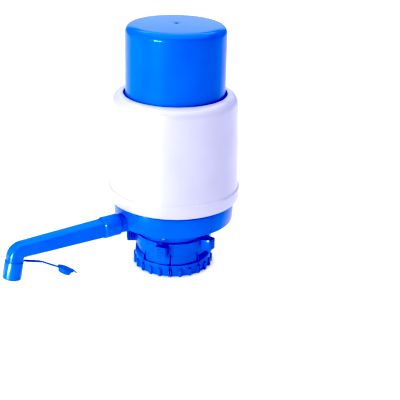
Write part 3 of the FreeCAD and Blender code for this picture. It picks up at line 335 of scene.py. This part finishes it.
def soften(piece, radius, angle=40.0):
    """Round every sharp edge, as a moulding tool's edges are."""
    finish_with(piece, "BEVEL", width=radius * MM, segments=2, limit_method="ANGLE",
                angle_limit=math.radians(angle), harden_normals=False)


def mend(piece):
    """Close the slivers that a fused or cut edge can leave open."""
    reopen(piece)
    tidy_mesh()
    bpy.ops.mesh.fill_holes(sides=8)
    bpy.ops.mesh.normals_make_consistent(inside=False)
    leave_edit()


def weld(piece, *others):
    """Fuse other solids into a piece, as one moulding."""
    for other in others:
        finish_with(piece, "BOOLEAN", operation="UNION", object=other, solver="EXACT")
        bpy.data.objects.remove(other)
        mend(piece)


def cut(piece, *others):
    """Cut other solids out of a piece."""
    for other in others:
        finish_with(piece, "BOOLEAN", operation="DIFFERENCE", object=other, solver="EXACT")
        bpy.data.objects.remove(other)
        mend(piece)


def copy_round(piece, count):
    """Copies of a piece, each with its own mesh, evenly round the pump's axis."""
    copies = [piece]
    for i in range(1, count):
        copy = piece.copy()
        copy.data = piece.data.copy()
        copy.name = copy.data.name = "%s_%d" % (piece.name, i + 1)
        bpy.context.scene.collection.objects.link(copy)
        copy.data.transform(Matrix.Rotation(2 * math.pi * i / count, 4, "Z"))
        copies.append(copy)
    piece.name = piece.data.name = piece.name + "_1"
    return copies


def ring_of(add, count, start=0.0):
    """The same small solid made evenly round the pump's axis, from start degrees, and joined into one."""
    first = add()
    settle(first)
    first.data.transform(Matrix.Rotation(math.radians(start), 4, "Z"))
    return join(*copy_round(first, count))


def dress(piece, node, ride_on=None):
    """Give a piece the finish and body of the CAD node that it stands for."""
    give_finish(piece, FINISHES[SLOT_OF[node]])
    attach(piece, ride_on or BODY_OF[node])


# ---- sizes that pieces share: heights above the collar's foot, and the radius of the water's bore ----

SHELL_FOOT = 59.4
SNAP_HEIGHT = 63.6
FLOOR_TOP, FLOOR_UNDER = 53.5, 50.7
MID_FLOOR = (FLOOR_TOP + FLOOR_UNDER) / 2
GASKET_TOP = 36.5
OUTLET = 44.9
WATER_BORE = 3.0
RING_MIDDLE = 23.65


# ---- press cap and shell ----

def make_cap():
    """Tall round cap, domed a little on top with the moulding gate's dimple in the middle."""
    top, under, dimple = 195.8, 192.7, 1.1
    lip, foot = 140.6, 132.5
    cap = turn_profile("cap_moulding", [
        (0, top - 0.5), (dimple, top - 0.5), (dimple, top, 0.2), (19.0, top, 500), (38.0, top - 0.9, 6.0),
        (38.25, lip, 0.4), (40.6, lip, 0.5), (45.4, 136.0, 0.8), (45.4, foot, 0.4), (43.2, foot, 0.4),
        (43.2, 134.9, 1.0), (39.5, lip - 2.2, 1.0), (36.05, lip - 2.2, 0.4), (35.8, under, 3.8), (0, under)])
    close(cap)
    dress(cap, "press_cap")
    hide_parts("press_cap")
    screw_hole, boss_radius, boss_top = 1.5, 3.2, under + 0.1
    boss = turn_profile("cap_boss", [
        (screw_hole, 191.0), (screw_hole, 186.5), (boss_radius, 186.5, 0.3), (boss_radius + 0.1, boss_top),
        (0, boss_top), (0, 191.0)], centre=(15, 0, 0), steps=32)
    for copy in copy_round(close(boss), 3):
        dress(copy, "press_cap")


def make_shell():
    """White shell with a thicker band at its foot and a round shoulder round the opening for the cap."""
    wall, opening = 2.2, 39.7
    band, band_top = 52.0, 69.0
    lower, upper, top = 50.8, 48.4, 143.4
    shell = turn_profile("shell_moulding", [
        (band, SHELL_FOOT, 0.9), (band, band_top, 0.7), (lower, band_top + 0.8, 0.4), (upper, top, 8.0),
        (opening, top, 0.7), (opening, top - 2.5, 0.3), (upper - wall, top - 2.5, 5.5),
        (lower - wall, band_top, 1.0), (band - wall, band_top - 0.8, 0.5), (band - wall, SNAP_HEIGHT + 1.05),
        (band - wall + 0.5, SNAP_HEIGHT), (band - wall, SNAP_HEIGHT - 1.05), (band - wall, SHELL_FOOT, 0.3)])
    close(shell)
    dress(shell, "outer_shell")
    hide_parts("outer_shell")


# ---- pump base ----

PARTING_AZIMUTH = 3.5
SCREW_AZIMUTH = 45.0


def make_base():
    """Blue base: skirt, seat for the shell, neck hub, stiffening ribs, screw bosses and water channel."""
    bowl, rim, rim_top = 46.9, 49.5, 66.5
    skirt_top, skirt_foot = 56.9, 41.3
    outer_lip, lip_groove = rim + 1.0, 47.3
    hub, air_room = 27.5, 24.9
    nose, nose_hole, nose_foot = 18.9, 17.0, GASKET_TOP - 1.8
    base = turn_profile("base_moulding", [
        (0, FLOOR_TOP), (bowl, FLOOR_TOP, 1.0), (bowl, rim_top, 0.4), (rim, rim_top, 0.4),
        (rim, SNAP_HEIGHT + 0.9), (rim + 0.5, SNAP_HEIGHT), (rim, SNAP_HEIGHT - 0.9), (rim, SHELL_FOOT),
        (outer_lip, SHELL_FOOT, 0.3), (outer_lip, SHELL_FOOT - 1, 0.3), (lip_groove, SHELL_FOOT - 1, 0.2),
        (lip_groove, skirt_top, 0.2), (48.15, skirt_top, 0.3), (47.5, skirt_foot, 0.9),
        (45.3, skirt_foot, 0.4), (46.0, FLOOR_UNDER, 0.8), (hub, FLOOR_UNDER, 0.8), (hub, GASKET_TOP, 0.3),
        (nose, GASKET_TOP, 0.3), (nose, nose_foot, 0.4), (nose_hole, nose_foot, 0.4),
        (nose_hole, GASKET_TOP + 2, 0.4), (air_room, GASKET_TOP + 2, 0.6), (air_room, FLOOR_UNDER, 1.2),
        (0, FLOOR_UNDER)])

    def gusset():
        foot = FLOOR_UNDER - 6
        rib = block((26.2, -0.8, foot), (46.2, 0.8, MID_FLOOR))
        select(rib, "edges", lambda middle: middle.z < foot + 0.3)
        bpy.ops.mesh.bevel(offset=0.3 * MM, segments=2)
        return rib

    def screw_boss(radius_at, low):
        top = MID_FLOOR - 0.1
        return turn_profile("boss", [(0, low), (3.4, low, 0.3), (3.5, top), (0, top)],
                            centre=(radius_at, 0, 0), steps=32)

    weld(base, ring_of(gusset, 8, SCREW_AZIMUTH / 2),
         ring_of(lambda: screw_boss(33.5, 38.6), 4, SCREW_AZIMUTH),
         ring_of(lambda: screw_boss(41.5, 45.7), 4, SCREW_AZIMUTH))

    # the water's way: a channel along the floor, the neck that the spout turns on and the dip tube's spigot
    half_channel, channel_foot, channel_end = 6, 38.9, 6.5
    channel = raise_outline("channel", [
        (-half_channel, channel_foot, 4.0), (half_channel, channel_foot, 4.0), (half_channel, MID_FLOOR),
        (-half_channel, MID_FLOOR)], 51.8, centre=(0, channel_end, 0))
    select(channel, "edges", lambda middle: middle.y > channel_end - 0.01)
    bpy.ops.mesh.bevel(offset=0.5 * MM, segments=2)
    nipple, ring_groove = 4.92, 3.74
    neck = turn_profile("neck", [
        (0, 43.0), (7.5, 43.0), (7.5, 52.3, 0.4), (nipple, 52.3), (nipple, 57.0), (ring_groove, 57.0),
        (ring_groove, 58.5), (nipple, 58.5), (nipple, 63.5), (nipple - 0.5, 64.0), (0, 64.0)],
        centre=(0, 0, OUTLET), along=FORWARD, steps=64)
    spigot_foot, spigot_top, spigot_radius, root_radius = 20.0, 37.0, 4.5, 6.5
    spigot = turn_profile("spigot", [
        (0, MID_FLOOR), (root_radius, MID_FLOOR), (root_radius, spigot_top, 0.4),
        (spigot_radius, spigot_top, 0.5), (spigot_radius, spigot_foot + 0.8, 0.3),
        (spigot_radius - 0.4, spigot_foot, 0.2), (0, spigot_foot)], steps=64)
    weld(base, channel, neck, spigot)
    riser = turn_profile("riser", [
        (0, spigot_foot - 1), (WATER_BORE, spigot_foot - 1), (WATER_BORE, OUTLET + 1), (0, OUTLET + 1)],
        steps=48)
    passage = turn_profile("passage", [(0, -2.5), (WATER_BORE, -2.5), (WATER_BORE, 65.0), (0, 65.0)],
                           centre=(0, 0, OUTLET), along=FORWARD, steps=44)
    weld(riser, passage)

    def air_hole():
        return turn_profile("air_hole", [(0, 49.0), (1.2, 49.0), (1.2, 55.0), (0, 55.0)],
                            centre=(4.2, 0, 0), steps=24)

    valve_place = Vector((0, 13.2, 0))
    air_holes = ring_of(air_hole, 6)
    air_holes.data.transform(Matrix.Translation(valve_place * MM))
    cut(base, riser, air_holes)

    # the mould's parting line down the skirt on both sides, and the gate's mark beside one of them
    def parting_line():
        low, high, width = 42.0, 56.8, 1.0
        return raise_outline("parting_line", [(bowl, low), (47.85, low), (48.42, high), (bowl, high)], width,
                             centre=(0, width / 2, 0))

    gate_mark = turn_profile("gate_mark", [(0, -0.8), (0.6, -0.8), (0.6, 0.25, 0.15), (0, 0.25)],
                             centre=(48.15, 0, 55.6), across=UP, along=OUT, steps=24)
    gate_mark.data.transform(Matrix.Rotation(math.radians(PARTING_AZIMUTH + 1.9), 4, "Z"))
    weld(base, ring_of(parting_line, 2, PARTING_AZIMUTH), gate_mark)
    close(base)
    dress(base, "pump_base")
    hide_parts("pump_base")


# ---- neck collar and lock ring ----

SLIT_AZIMUTH = -38.0


def make_collar():
    """Split collar: eight fingers, a toothed head, a groove for the lock ring and a flange on top."""
    grip, grip_depth, above_grip = 27.7, 19.5, 28.1
    head, head_top, wall = 31.0, 9.6, 29.3
    groove, half_groove = 28.7, 1.1
    flange, flange_under, flange_top = 38.0, 36.2, 38.6
    collar = turn_profile("collar_moulding", [
        (grip, 0, 0.5), (head, 0, 0.5), (head, head_top, 0.4), (wall, head_top, 0.3),
        (wall, RING_MIDDLE - half_groove), (groove, RING_MIDDLE - half_groove),
        (groove, RING_MIDDLE + half_groove), (wall, RING_MIDDLE + half_groove), (wall, flange_under, 0.6),
        (flange, flange_under, 0.5), (flange, flange_top, 0.4), (above_grip, flange_top),
        (above_grip, grip_depth), (grip, grip_depth)])

    def tooth():
        root, crest, half_root, half_crest = 30.3, 32.4, 1.5, 1.0
        return raise_outline("tooth", [
            (root, -half_root), (head, -half_root, 0.3), (crest, -half_crest, 0.3), (crest, half_crest, 0.3),
            (head, half_root, 0.3), (root, half_root)], 6.4, along=(0, 1, 0), fine=2)

    def ridges():
        low, high, step, crest, valley = 9.5, 14.2, 4.6 / 6, 30.8, 29.9
        arc, inner = 88.0, 28.6
        heights = [low] + [head_top + step * i for i in range(1, 6)]
        tips = [crest, crest, valley, crest, valley, crest]
        outline = [(inner, low)] + [(tip, height, 0.12) for tip, height in zip(tips, heights)]
        outline += [(wall, high), (inner, high)]
        start = Matrix.Rotation(math.radians(-arc / 2), 3, "Z") @ OUT
        return turn_profile("ridge", outline, across=start, steps=44, turn=arc)

    def slit():
        half_width = 0.35
        return block((24.4, -half_width, -1.0), (33.8, half_width, 25.0))

    weld(collar, ring_of(tooth, 24, SLIT_AZIMUTH), ring_of(ridges, 2, 54.0))
    cut(collar, ring_of(slit, 8, SLIT_AZIMUTH))
    close(collar)
    dress(collar, "neck_collar")
    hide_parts("neck_collar")


def make_lock_ring():
    """Winged ring that squeezes the fingers: five ribbed wings, run into the ring on one side."""
    inner, outer, bead = 29.6, 31.0, 29.0
    half_height, half_bead = 4.95, 0.8
    ring = turn_profile("lock_ring_moulding", [
        (inner, RING_MIDDLE - half_height, 0.2), (outer, RING_MIDDLE - half_height, 0.5),
        (outer, RING_MIDDLE + half_height, 0.5), (inner, RING_MIDDLE + half_height, 0.2),
        (inner, RING_MIDDLE + half_bead), (bead, RING_MIDDLE + half_bead), (bead, RING_MIDDLE - half_bead),
        (inner, RING_MIDDLE - half_bead)])

    def wing():
        half_width, tip, height = 4.3, 37.6, 9.3
        body = raise_outline("wing", [
            (30.3, half_width), (28.82, -9.36), (outer, -half_width, 4.0), (tip, -half_width, 0.8),
            (tip, half_width, 0.8)], height, centre=(0, 0, RING_MIDDLE - height / 2), along=(0, 1, 0), fine=2)
        soften(body, 0.3)
        ribs = []
        # upright ribs on the wing's flat side, and three level ones on its tip
        rib, rib_pitch = 0.9, 1.9
        low, high = RING_MIDDLE - 4.3, RING_MIDDLE + 4.3
        for i in range(4):
            rib_end = tip - 0.8 - rib_pitch * i
            ribs.append(block((rib_end - rib, 3.7, low), (rib_end, 4.8, high)))
        for i in (-1, 0, 1):
            level = RING_MIDDLE + 2.6 * i
            ribs.append(block((tip - 0.5, -2.7, level - rib / 2), (tip + 0.45, 2.7, level + rib / 2)))
        for one in ribs:
            soften(one, 0.2)
        weld(body, *ribs)
        return body

    weld(ring, ring_of(wing, 5, 22.5))
    close(ring)
    dress(ring, "lock_ring")
    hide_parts("lock_ring")


# ---- spout, sleeve, strap and plug ----

TILT = math.radians(12.0)
DOWN_NOZZLE = Vector((0, -math.sin(TILT), -math.cos(TILT)))
OUT_NOZZLE = Vector((0, -math.cos(TILT), math.sin(TILT)))
ELBOW = Vector((0, -137.0, OUTLET))
BEND_RADIUS = 6.4
SETBACK = BEND_RADIUS * math.tan((math.pi / 2 - TILT) / 2)
SHOULDER = SETBACK + 2.4
SLEEVE_START = SHOULDER + 0.4
MOUTH = SLEEVE_START + 13.5
STEPS_PER_CORNER = 9


def square_section(name, width, corner, centre, along):
    """A rounded square across the spout, always of the same number of points."""
    half = width / 2
    return draw_outline(name, [(half, half, corner), (-half, half, corner), (-half, -half, corner),
                               (half, -half, corner)], centre, OUT, along,
                        fine=STEPS_PER_CORNER / (math.pi / 2 * (2 + corner)))


def bridge(first, second):
    """Join two outlines without their faces, and bridge them into one open tube."""
    for piece in (first, second):
        reopen(piece)
        bpy.ops.mesh.select_all(action="SELECT")
        bpy.ops.mesh.delete(type="ONLY_FACE")
    join(first, second)
    reopen(first)
    bpy.ops.mesh.select_mode(type="EDGE")
    bpy.ops.mesh.select_all(action="SELECT")
    bpy.ops.mesh.bridge_edge_loops()
    return first


def make_spout():
    """Hub, tapering square tube, elbow and round tilted nozzle, all one moulding."""
    bend_start = ELBOW + Vector((0, SETBACK, 0))
    bend_end = ELBOW + DOWN_NOZZLE * SETBACK
    tube_start, tube_end_width, tube_end_corner = 65.9, 11.6, 3.8
    tube = bridge(square_section("spout_moulding", 12.0, 1.4, (0, -tube_start, OUTLET), UP),
                  square_section("tube_end", tube_end_width, tube_end_corner, bend_start, UP))
    select(tube, "edges", lambda middle: middle.y < bend_start.y + 0.01)
    bpy.ops.mesh.spin(steps=16, angle=math.pi / 2 - TILT, center=(bend_start - UP * BEND_RADIUS) * MM,
                      axis=(-1, 0, 0))
    blend = bridge(square_section("nozzle_top", tube_end_width, tube_end_corner, bend_end, OUT_NOZZLE),
                   square_section("nozzle_round", 12.1, 5.9, ELBOW + DOWN_NOZZLE * SHOULDER, OUT_NOZZLE))
    select(blend, "edges", lambda middle: (middle - ELBOW).dot(DOWN_NOZZLE) > SHOULDER - 0.01)
    bpy.ops.mesh.extrude_edges_move(TRANSFORM_OT_translate={"value": DOWN_NOZZLE * 0.4 * MM})
    join(tube, blend)
    reopen(tube)
    tidy_mesh()
    bpy.ops.mesh.fill_holes(sides=0)
    tidy_mesh()

    hub_bore, hub_radius, hub_start, hub_end = 5.0, 8.5, 52.7, 66.5
    hub = turn_profile("hub", [
        (hub_bore, hub_start, 0.3), (hub_radius, hub_start, 0.5), (hub_radius, 65.4, 0.25),
        (hub_radius - 1.1, hub_end, 0.25), (0, hub_end), (0, 64.6), (hub_bore, 64.6)],
        centre=(0, 0, OUTLET), along=FORWARD, steps=96)
    tip_start, tip_end = SLEEVE_START - 2, MOUTH - 5.2
    tip = turn_profile("nozzle_tip", [(0, tip_start), (5.75, tip_start), (5.75, tip_end, 0.3), (0, tip_end)],
                       centre=ELBOW, along=DOWN_NOZZLE, steps=64)
    weld(tube, hub, tip)
    water_way = turn_profile("water_way", [(0, 64.0), (WATER_BORE, 64.0), (WATER_BORE, 136.0), (0, 138.5)],
                             centre=(0, 0, OUTLET), along=FORWARD, steps=48)
    drop = turn_profile("drop", [
        (0, -1.5), (WATER_BORE, 0.5), (WATER_BORE, MOUTH - 12.5), (4.2, MOUTH - 12.2), (4.2, MOUTH),
        (0, MOUTH)], centre=ELBOW, along=DOWN_NOZZLE, steps=48)
    cut(tube, water_way, drop)
    close(tube, 32.0)
    dress(tube, "spout")
    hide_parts("spout")


ROOT = Vector((0, -131.0796, 35.0226))
FOLD = Vector((0, -117.4039, 30.5131))
STRAP_END = Vector((0, -104.3085, 22.4094))
ROOT_SLOPE = math.radians(18.25)
TIP_SLOPE = math.radians(31.75)
PLUG_SLOPE = math.radians(27.6)
STRAP_WIDTH = 3.2
HALF_THICK = 0.35
# strap pieces thin to an edge over the last 0.7 mm where they crease, and stop just short of the crease
CREASE, CREASE_GAP = 0.7, 0.03


def along_strap(slope):
    """The directions along the strap and square to it, for a slope down from the nozzle."""
    return Vector((0, math.cos(slope), -math.sin(slope))), Vector((0, math.sin(slope), math.cos(slope)))


def flat_strip(name, place, slope, corners, width=STRAP_WIDTH):
    """A flat strip of the strap, as wide as given, from an outline along it."""
    forth, upright = along_strap(slope)
    return raise_outline(name, corners, width, centre=place - OUT * width / 2, across=forth, along=upright)


def make_sleeve():
    """Soft sleeve pushed on the nozzle, with the strap's root on its inner side."""
    seat, bore, bore_end = 5.8, 6.0, MOUTH - 4.9
    sleeve = turn_profile("sleeve_moulding", [
        (seat, SLEEVE_START), (6.9, SLEEVE_START, 0.4), (7.02, MOUTH, 0.5), (bore, MOUTH, 0.3),
        (bore, bore_end), (seat, bore_end)], centre=ELBOW, along=DOWN_NOZZLE, steps=96)
    root_length = 2.0
    lug = flat_strip("strap_root", ROOT, ROOT_SLOPE, [
        (-CREASE_GAP, 0), (-CREASE, HALF_THICK), (-root_length, HALF_THICK), (-root_length, -HALF_THICK),
        (-CREASE, -HALF_THICK)])
    weld(sleeve, lug)
    close(sleeve)
    dress(sleeve, "nozzle_sleeve")
    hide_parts("nozzle_sleeve")


def make_strap():
    """Two flat links, thinned where the strap creases."""
    for node, place, slope, length in (("strap_inner", ROOT, ROOT_SLOPE, 14.4),
                                       ("strap_outer", FOLD, TIP_SLOPE, 15.4)):
        link = flat_strip(node + "_strip", place, slope, [
            (CREASE_GAP, 0), (CREASE, HALF_THICK, 0.2), (length - CREASE, HALF_THICK, 0.2),
            (length - CREASE_GAP, 0), (length - CREASE, -HALF_THICK, 0.2), (CREASE, -HALF_THICK, 0.2)])
        close(link, 30.0)
        dress(link, node)
        give_finish(link, MATT_BLUE)
        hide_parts(node)


def make_plug():
    """Plug: a thin flange, a hollow boss with a rounded foot, and a pull tab with a curled end."""
    forth, upright = along_strap(PLUG_SLOPE)
    middle = STRAP_END + forth * 7.2
    flange, half_flange, boss_foot = 6.6, 0.5, -3.7
    plug = turn_profile("plug_moulding", [
        (0, half_flange), (flange, half_flange, 0.45), (flange, -half_flange, 0.4), (5.6, -half_flange),
        (4.65, boss_foot, 0.6), (3.6, boss_foot, 0.3), (4.4, -half_flange), (0, -half_flange)],
        centre=middle, along=upright, steps=72)
    stub_end = 1.8
    stub = flat_strip("plug_stub", STRAP_END, PLUG_SLOPE, [
        (CREASE_GAP, 0), (CREASE, HALF_THICK), (stub_end, HALF_THICK), (stub_end, -HALF_THICK),
        (CREASE, -HALF_THICK)])
    tab_start, half_tab = 12.8, 0.4
    tab = flat_strip("pull_tab", STRAP_END, PLUG_SLOPE, [
        (tab_start, half_tab), (14.85, half_tab, 1.5), (16.9, -0.7, 0.2), (16.5, -1.5, 0.2),
        (14.6, -half_tab, 1.0), (tab_start, -half_tab)], width=5.0)
    soften(tab, 0.15, angle=60.0)
    weld(plug, stub, tab)
    close(plug)
    dress(plug, "nozzle_plug")
    give_finish(plug, MATT_BLUE)
    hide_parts("nozzle_plug")


# ---- bellows and return spring ----


def make_bellows():
    """Blow-moulded bellows: nine rounded folds on the clamped flange, and the cuff round the top plate."""
    folds, low, top = 9, 57.0, 182.7
    crest, root, wall = 33.5, 26.4, 1.5
    inner = root - wall
    flange, flange_top = 44.0, FLOOR_TOP + 1.5
    pitch = (top - low) / folds
    outside, inside = [], []
    for i in range(folds):
        crest_height, root_height = low + pitch * (i + 0.5), low + pitch * (i + 1)
        outside.append((crest, crest_height, 1.1))
        inside.append((crest - wall, crest_height, 0.7))
        if i < folds - 1:
            outside.append((root, root_height, 1.1))
            inside.append((inner, root_height, 0.7))
    # the flat ring under the top plate
    seat_top, cuff_outer = 183.85, 33.3
    outline = [(flange, FLOOR_TOP), (flange, flange_top, 0.5), (root, flange_top, 0.5), (root, low)]
    outline += outside
    outline += [(root, top, 0.5), (cuff_outer, top, 0.4), (cuff_outer, seat_top), (inner, seat_top),
                (inner, top)]
    outline += inside[::-1]
    outline += [(inner, low), (inner, FLOOR_TOP)]
    bellows = turn_profile("bellows_moulding", outline, steps=96, fine=0.7)
    close(bellows, 50.0)
    dress(bellows, "bellows")
    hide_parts("bellows")
    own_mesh(bellows)
    # the cuff is stiff and goes down with the plate that it grips
    cuff_inner, cuff_foot, cuff_top, lip, lip_under = 32.15, seat_top + 0.05, 187.8, 29.6, 186.65
    cuff = turn_profile("bellows_cuff", [
        (cuff_inner, cuff_foot), (cuff_outer, cuff_foot), (cuff_outer, cuff_top, 0.5), (lip, cuff_top, 0.3),
        (lip, lip_under), (cuff_inner, lip_under)], steps=96)
    close(cuff, 50.0)
    dress(cuff, "bellows", ride_on="cap")
    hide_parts("bellows")


def make_spring():
    """Return spring: one round wire wound into six turns."""
    coil_radius, wire_radius, turns, foot, height = 23.0, 0.9, 6, 54.5, 128.5
    steps_round = 432
    spring = begin("spring_wire", bpy.ops.mesh.primitive_circle_add, vertices=14, radius=wire_radius * MM)
    bpy.ops.transform.rotate(value=math.pi / 2, orient_axis="X", center_override=(0, 0, 0))
    bpy.ops.transform.translate(value=(coil_radius * MM, 0, foot * MM))
    finish_with(spring, "SCREW", angle=math.radians(turns * 360), screw_offset=height * MM, steps=steps_round,
                render_steps=steps_round, axis="Z", use_merge_vertices=False)
    reopen(spring)
    tidy_mesh()
    bpy.ops.mesh.fill_holes(sides=0)
    bpy.ops.mesh.normals_make_consistent(inside=False)
    close(spring, 60.0)
    dress(spring, "return_spring")
    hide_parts("return_spring")
    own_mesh(spring)


make_cap()
make_shell()
make_base()
make_collar()
make_lock_ring()
make_spout()
make_sleeve()
make_strap()
make_plug()
make_bellows()
make_spring()


# ---- camera, light and floor: in metres ----

CAMERA_PLACE = Vector((0.5209, -0.3523, 0.32935))
CAMERA_TURN, CAMERA_TILT, CAMERA_ROLL = math.radians(54.0), 0.413295, 0.0293268
CAMERA_LENS = 76.74


def place_camera():
    """Seen from the side of the spout, a little above, through a short telephoto lens."""
    ahead = Vector((-math.sin(CAMERA_TURN) * math.cos(CAMERA_TILT),
                    math.cos(CAMERA_TURN) * math.cos(CAMERA_TILT), -math.sin(CAMERA_TILT)))
    right = ahead.cross(UP).normalized()
    up = right.cross(ahead)
    stand = Matrix((right, up, -ahead)).transposed().to_4x4() @ Matrix.Rotation(CAMERA_ROLL, 4, "Z")
    data = bpy.data.cameras.new("camera")
    data.lens = CAMERA_LENS
    data.sensor_width = 36.0
    data.clip_start = 0.02
    camera = bpy.data.objects.new("camera", data)
    camera.matrix_world = Matrix.Translation(CAMERA_PLACE) @ stand
    bpy.context.scene.collection.objects.link(camera)
    bpy.context.scene.camera = camera


def add_softbox(name, azimuth, height, distance, width, tall, power, tint="FFFFFF", aim=(0, 0, 0.1),
                gloss_only=False):
    """A rectangular soft light, placed round the pump and turned to face it."""
    turn = math.radians(azimuth)
    place = Vector((math.cos(turn) * distance, math.sin(turn) * distance, height))
    data = bpy.data.lights.new(name, "AREA")
    data.shape = "RECTANGLE"
    data.size, data.size_y = width, tall
    data.energy = power
    data.color = colour(tint)[:3]
    light = bpy.data.objects.new(name, data)
    light.location = place
    light.rotation_mode = "QUATERNION"
    light.rotation_quaternion = (Vector(aim) - place).to_track_quat("-Z", "Y")
    # a strip that is only there for its streak in the gloss adds no light of its own
    light.visible_diffuse = not gloss_only
    bpy.context.scene.collection.objects.link(light)


def set_view():
    """A contrasty view: the darkest tenth of red and green goes to nothing, so the blue is at its fullest."""
    view = bpy.context.scene.view_settings
    view.view_transform = "Standard"
    view.look = "None"
    view.use_curve_mapping = True
    view.curve_mapping.black_level = (0.1, 0.1, 0.0)
    view.curve_mapping.update()


def light_studio():
    """A light tent: cool light from all round, wide boxes above, left and behind, and a small bright key."""
    world = bpy.data.worlds.new("studio")
    world.use_nodes = True
    world.node_tree.nodes["Background"].inputs["Color"].default_value = colour("CCC8FF")
    world.node_tree.nodes["Background"].inputs["Strength"].default_value = 0.42
    bpy.context.scene.world = world
    add_softbox("top_softbox", azimuth=146, height=1.3, distance=0.15, width=2.0, tall=2.0, power=42.0,
                tint="E4E4FF")
    add_softbox("key_softbox", azimuth=-74, height=0.295, distance=0.75, width=0.22, tall=0.07, power=3.4,
                aim=(0, 0, 0.19))
    add_softbox("left_softbox", azimuth=-125, height=0.35, distance=0.9, width=0.6, tall=0.8, power=1.3)
    add_softbox("back_softbox", azimuth=146, height=0.45, distance=0.9, width=0.9, tall=0.35, power=1.1,
                tint="E0F0FF")
    # the highlight under the cap's rim, and the streak down the nozzle and its sleeve
    add_softbox("rim_strip", azimuth=-74, height=0.295, distance=0.75, width=0.2, tall=0.05, power=18.0,
                aim=(0, 0, 0.19), gloss_only=True)
    add_softbox("nozzle_strip", azimuth=-81.9, height=0.032, distance=0.2414, width=0.006, tall=0.06,
                power=1.4, aim=(0.004, -0.143, 0.032), gloss_only=True)


def lay_floor():
    """Pale paper that glows from below, with the glow cut out in a disc under the collar: painted shade that
    keeps the collar's inside dark.
    """
    painted_shade_radius, glow_radius, glow_strength = 0.027, 0.036, 0.86
    bpy.ops.object.select_all(action="DESELECT")
    bpy.ops.mesh.primitive_plane_add(size=60.0, location=(0, 0, 0))
    floor = bpy.context.object
    floor.name = "studio_floor"
    material, tree, shader, place = new_material("matt white translucent paper, lit from below")
    grain = add_node(tree, "ShaderNodeTexNoise", links=[(place, "Vector")], Scale=300.0, Detail=2.0)
    tree.links.new(two_tone(tree, grain.outputs["Fac"], "C8C8CA", "CCCCCE"), shader.inputs["Base Color"])
    from_axis = add_node(tree, "ShaderNodeVectorMath", links=[(place, "Vector")], operation="LENGTH")
    # the glow fades to nothing in a disc under the collar, a painted shadow where the collar stands
    glow_and_painted_shade = add_node(tree, "ShaderNodeMapRange", links=[(from_axis.outputs["Value"], "Value")],
                    interpolation_type="SMOOTHSTEP", From_Min=painted_shade_radius, From_Max=glow_radius, To_Min=0.0,
                    To_Max=glow_strength)
    tree.links.new(glow_and_painted_shade.outputs["Result"], shader.inputs["Emission Strength"])
    shader.inputs["Emission Color"].default_value = colour("E4E0FF")
    shader.inputs["Roughness"].default_value = 0.9
    shader.inputs["Specular IOR Level"].default_value = 0.1
    give_finish(floor, material)


place_camera()
set_view()
light_studio()
lay_floor()
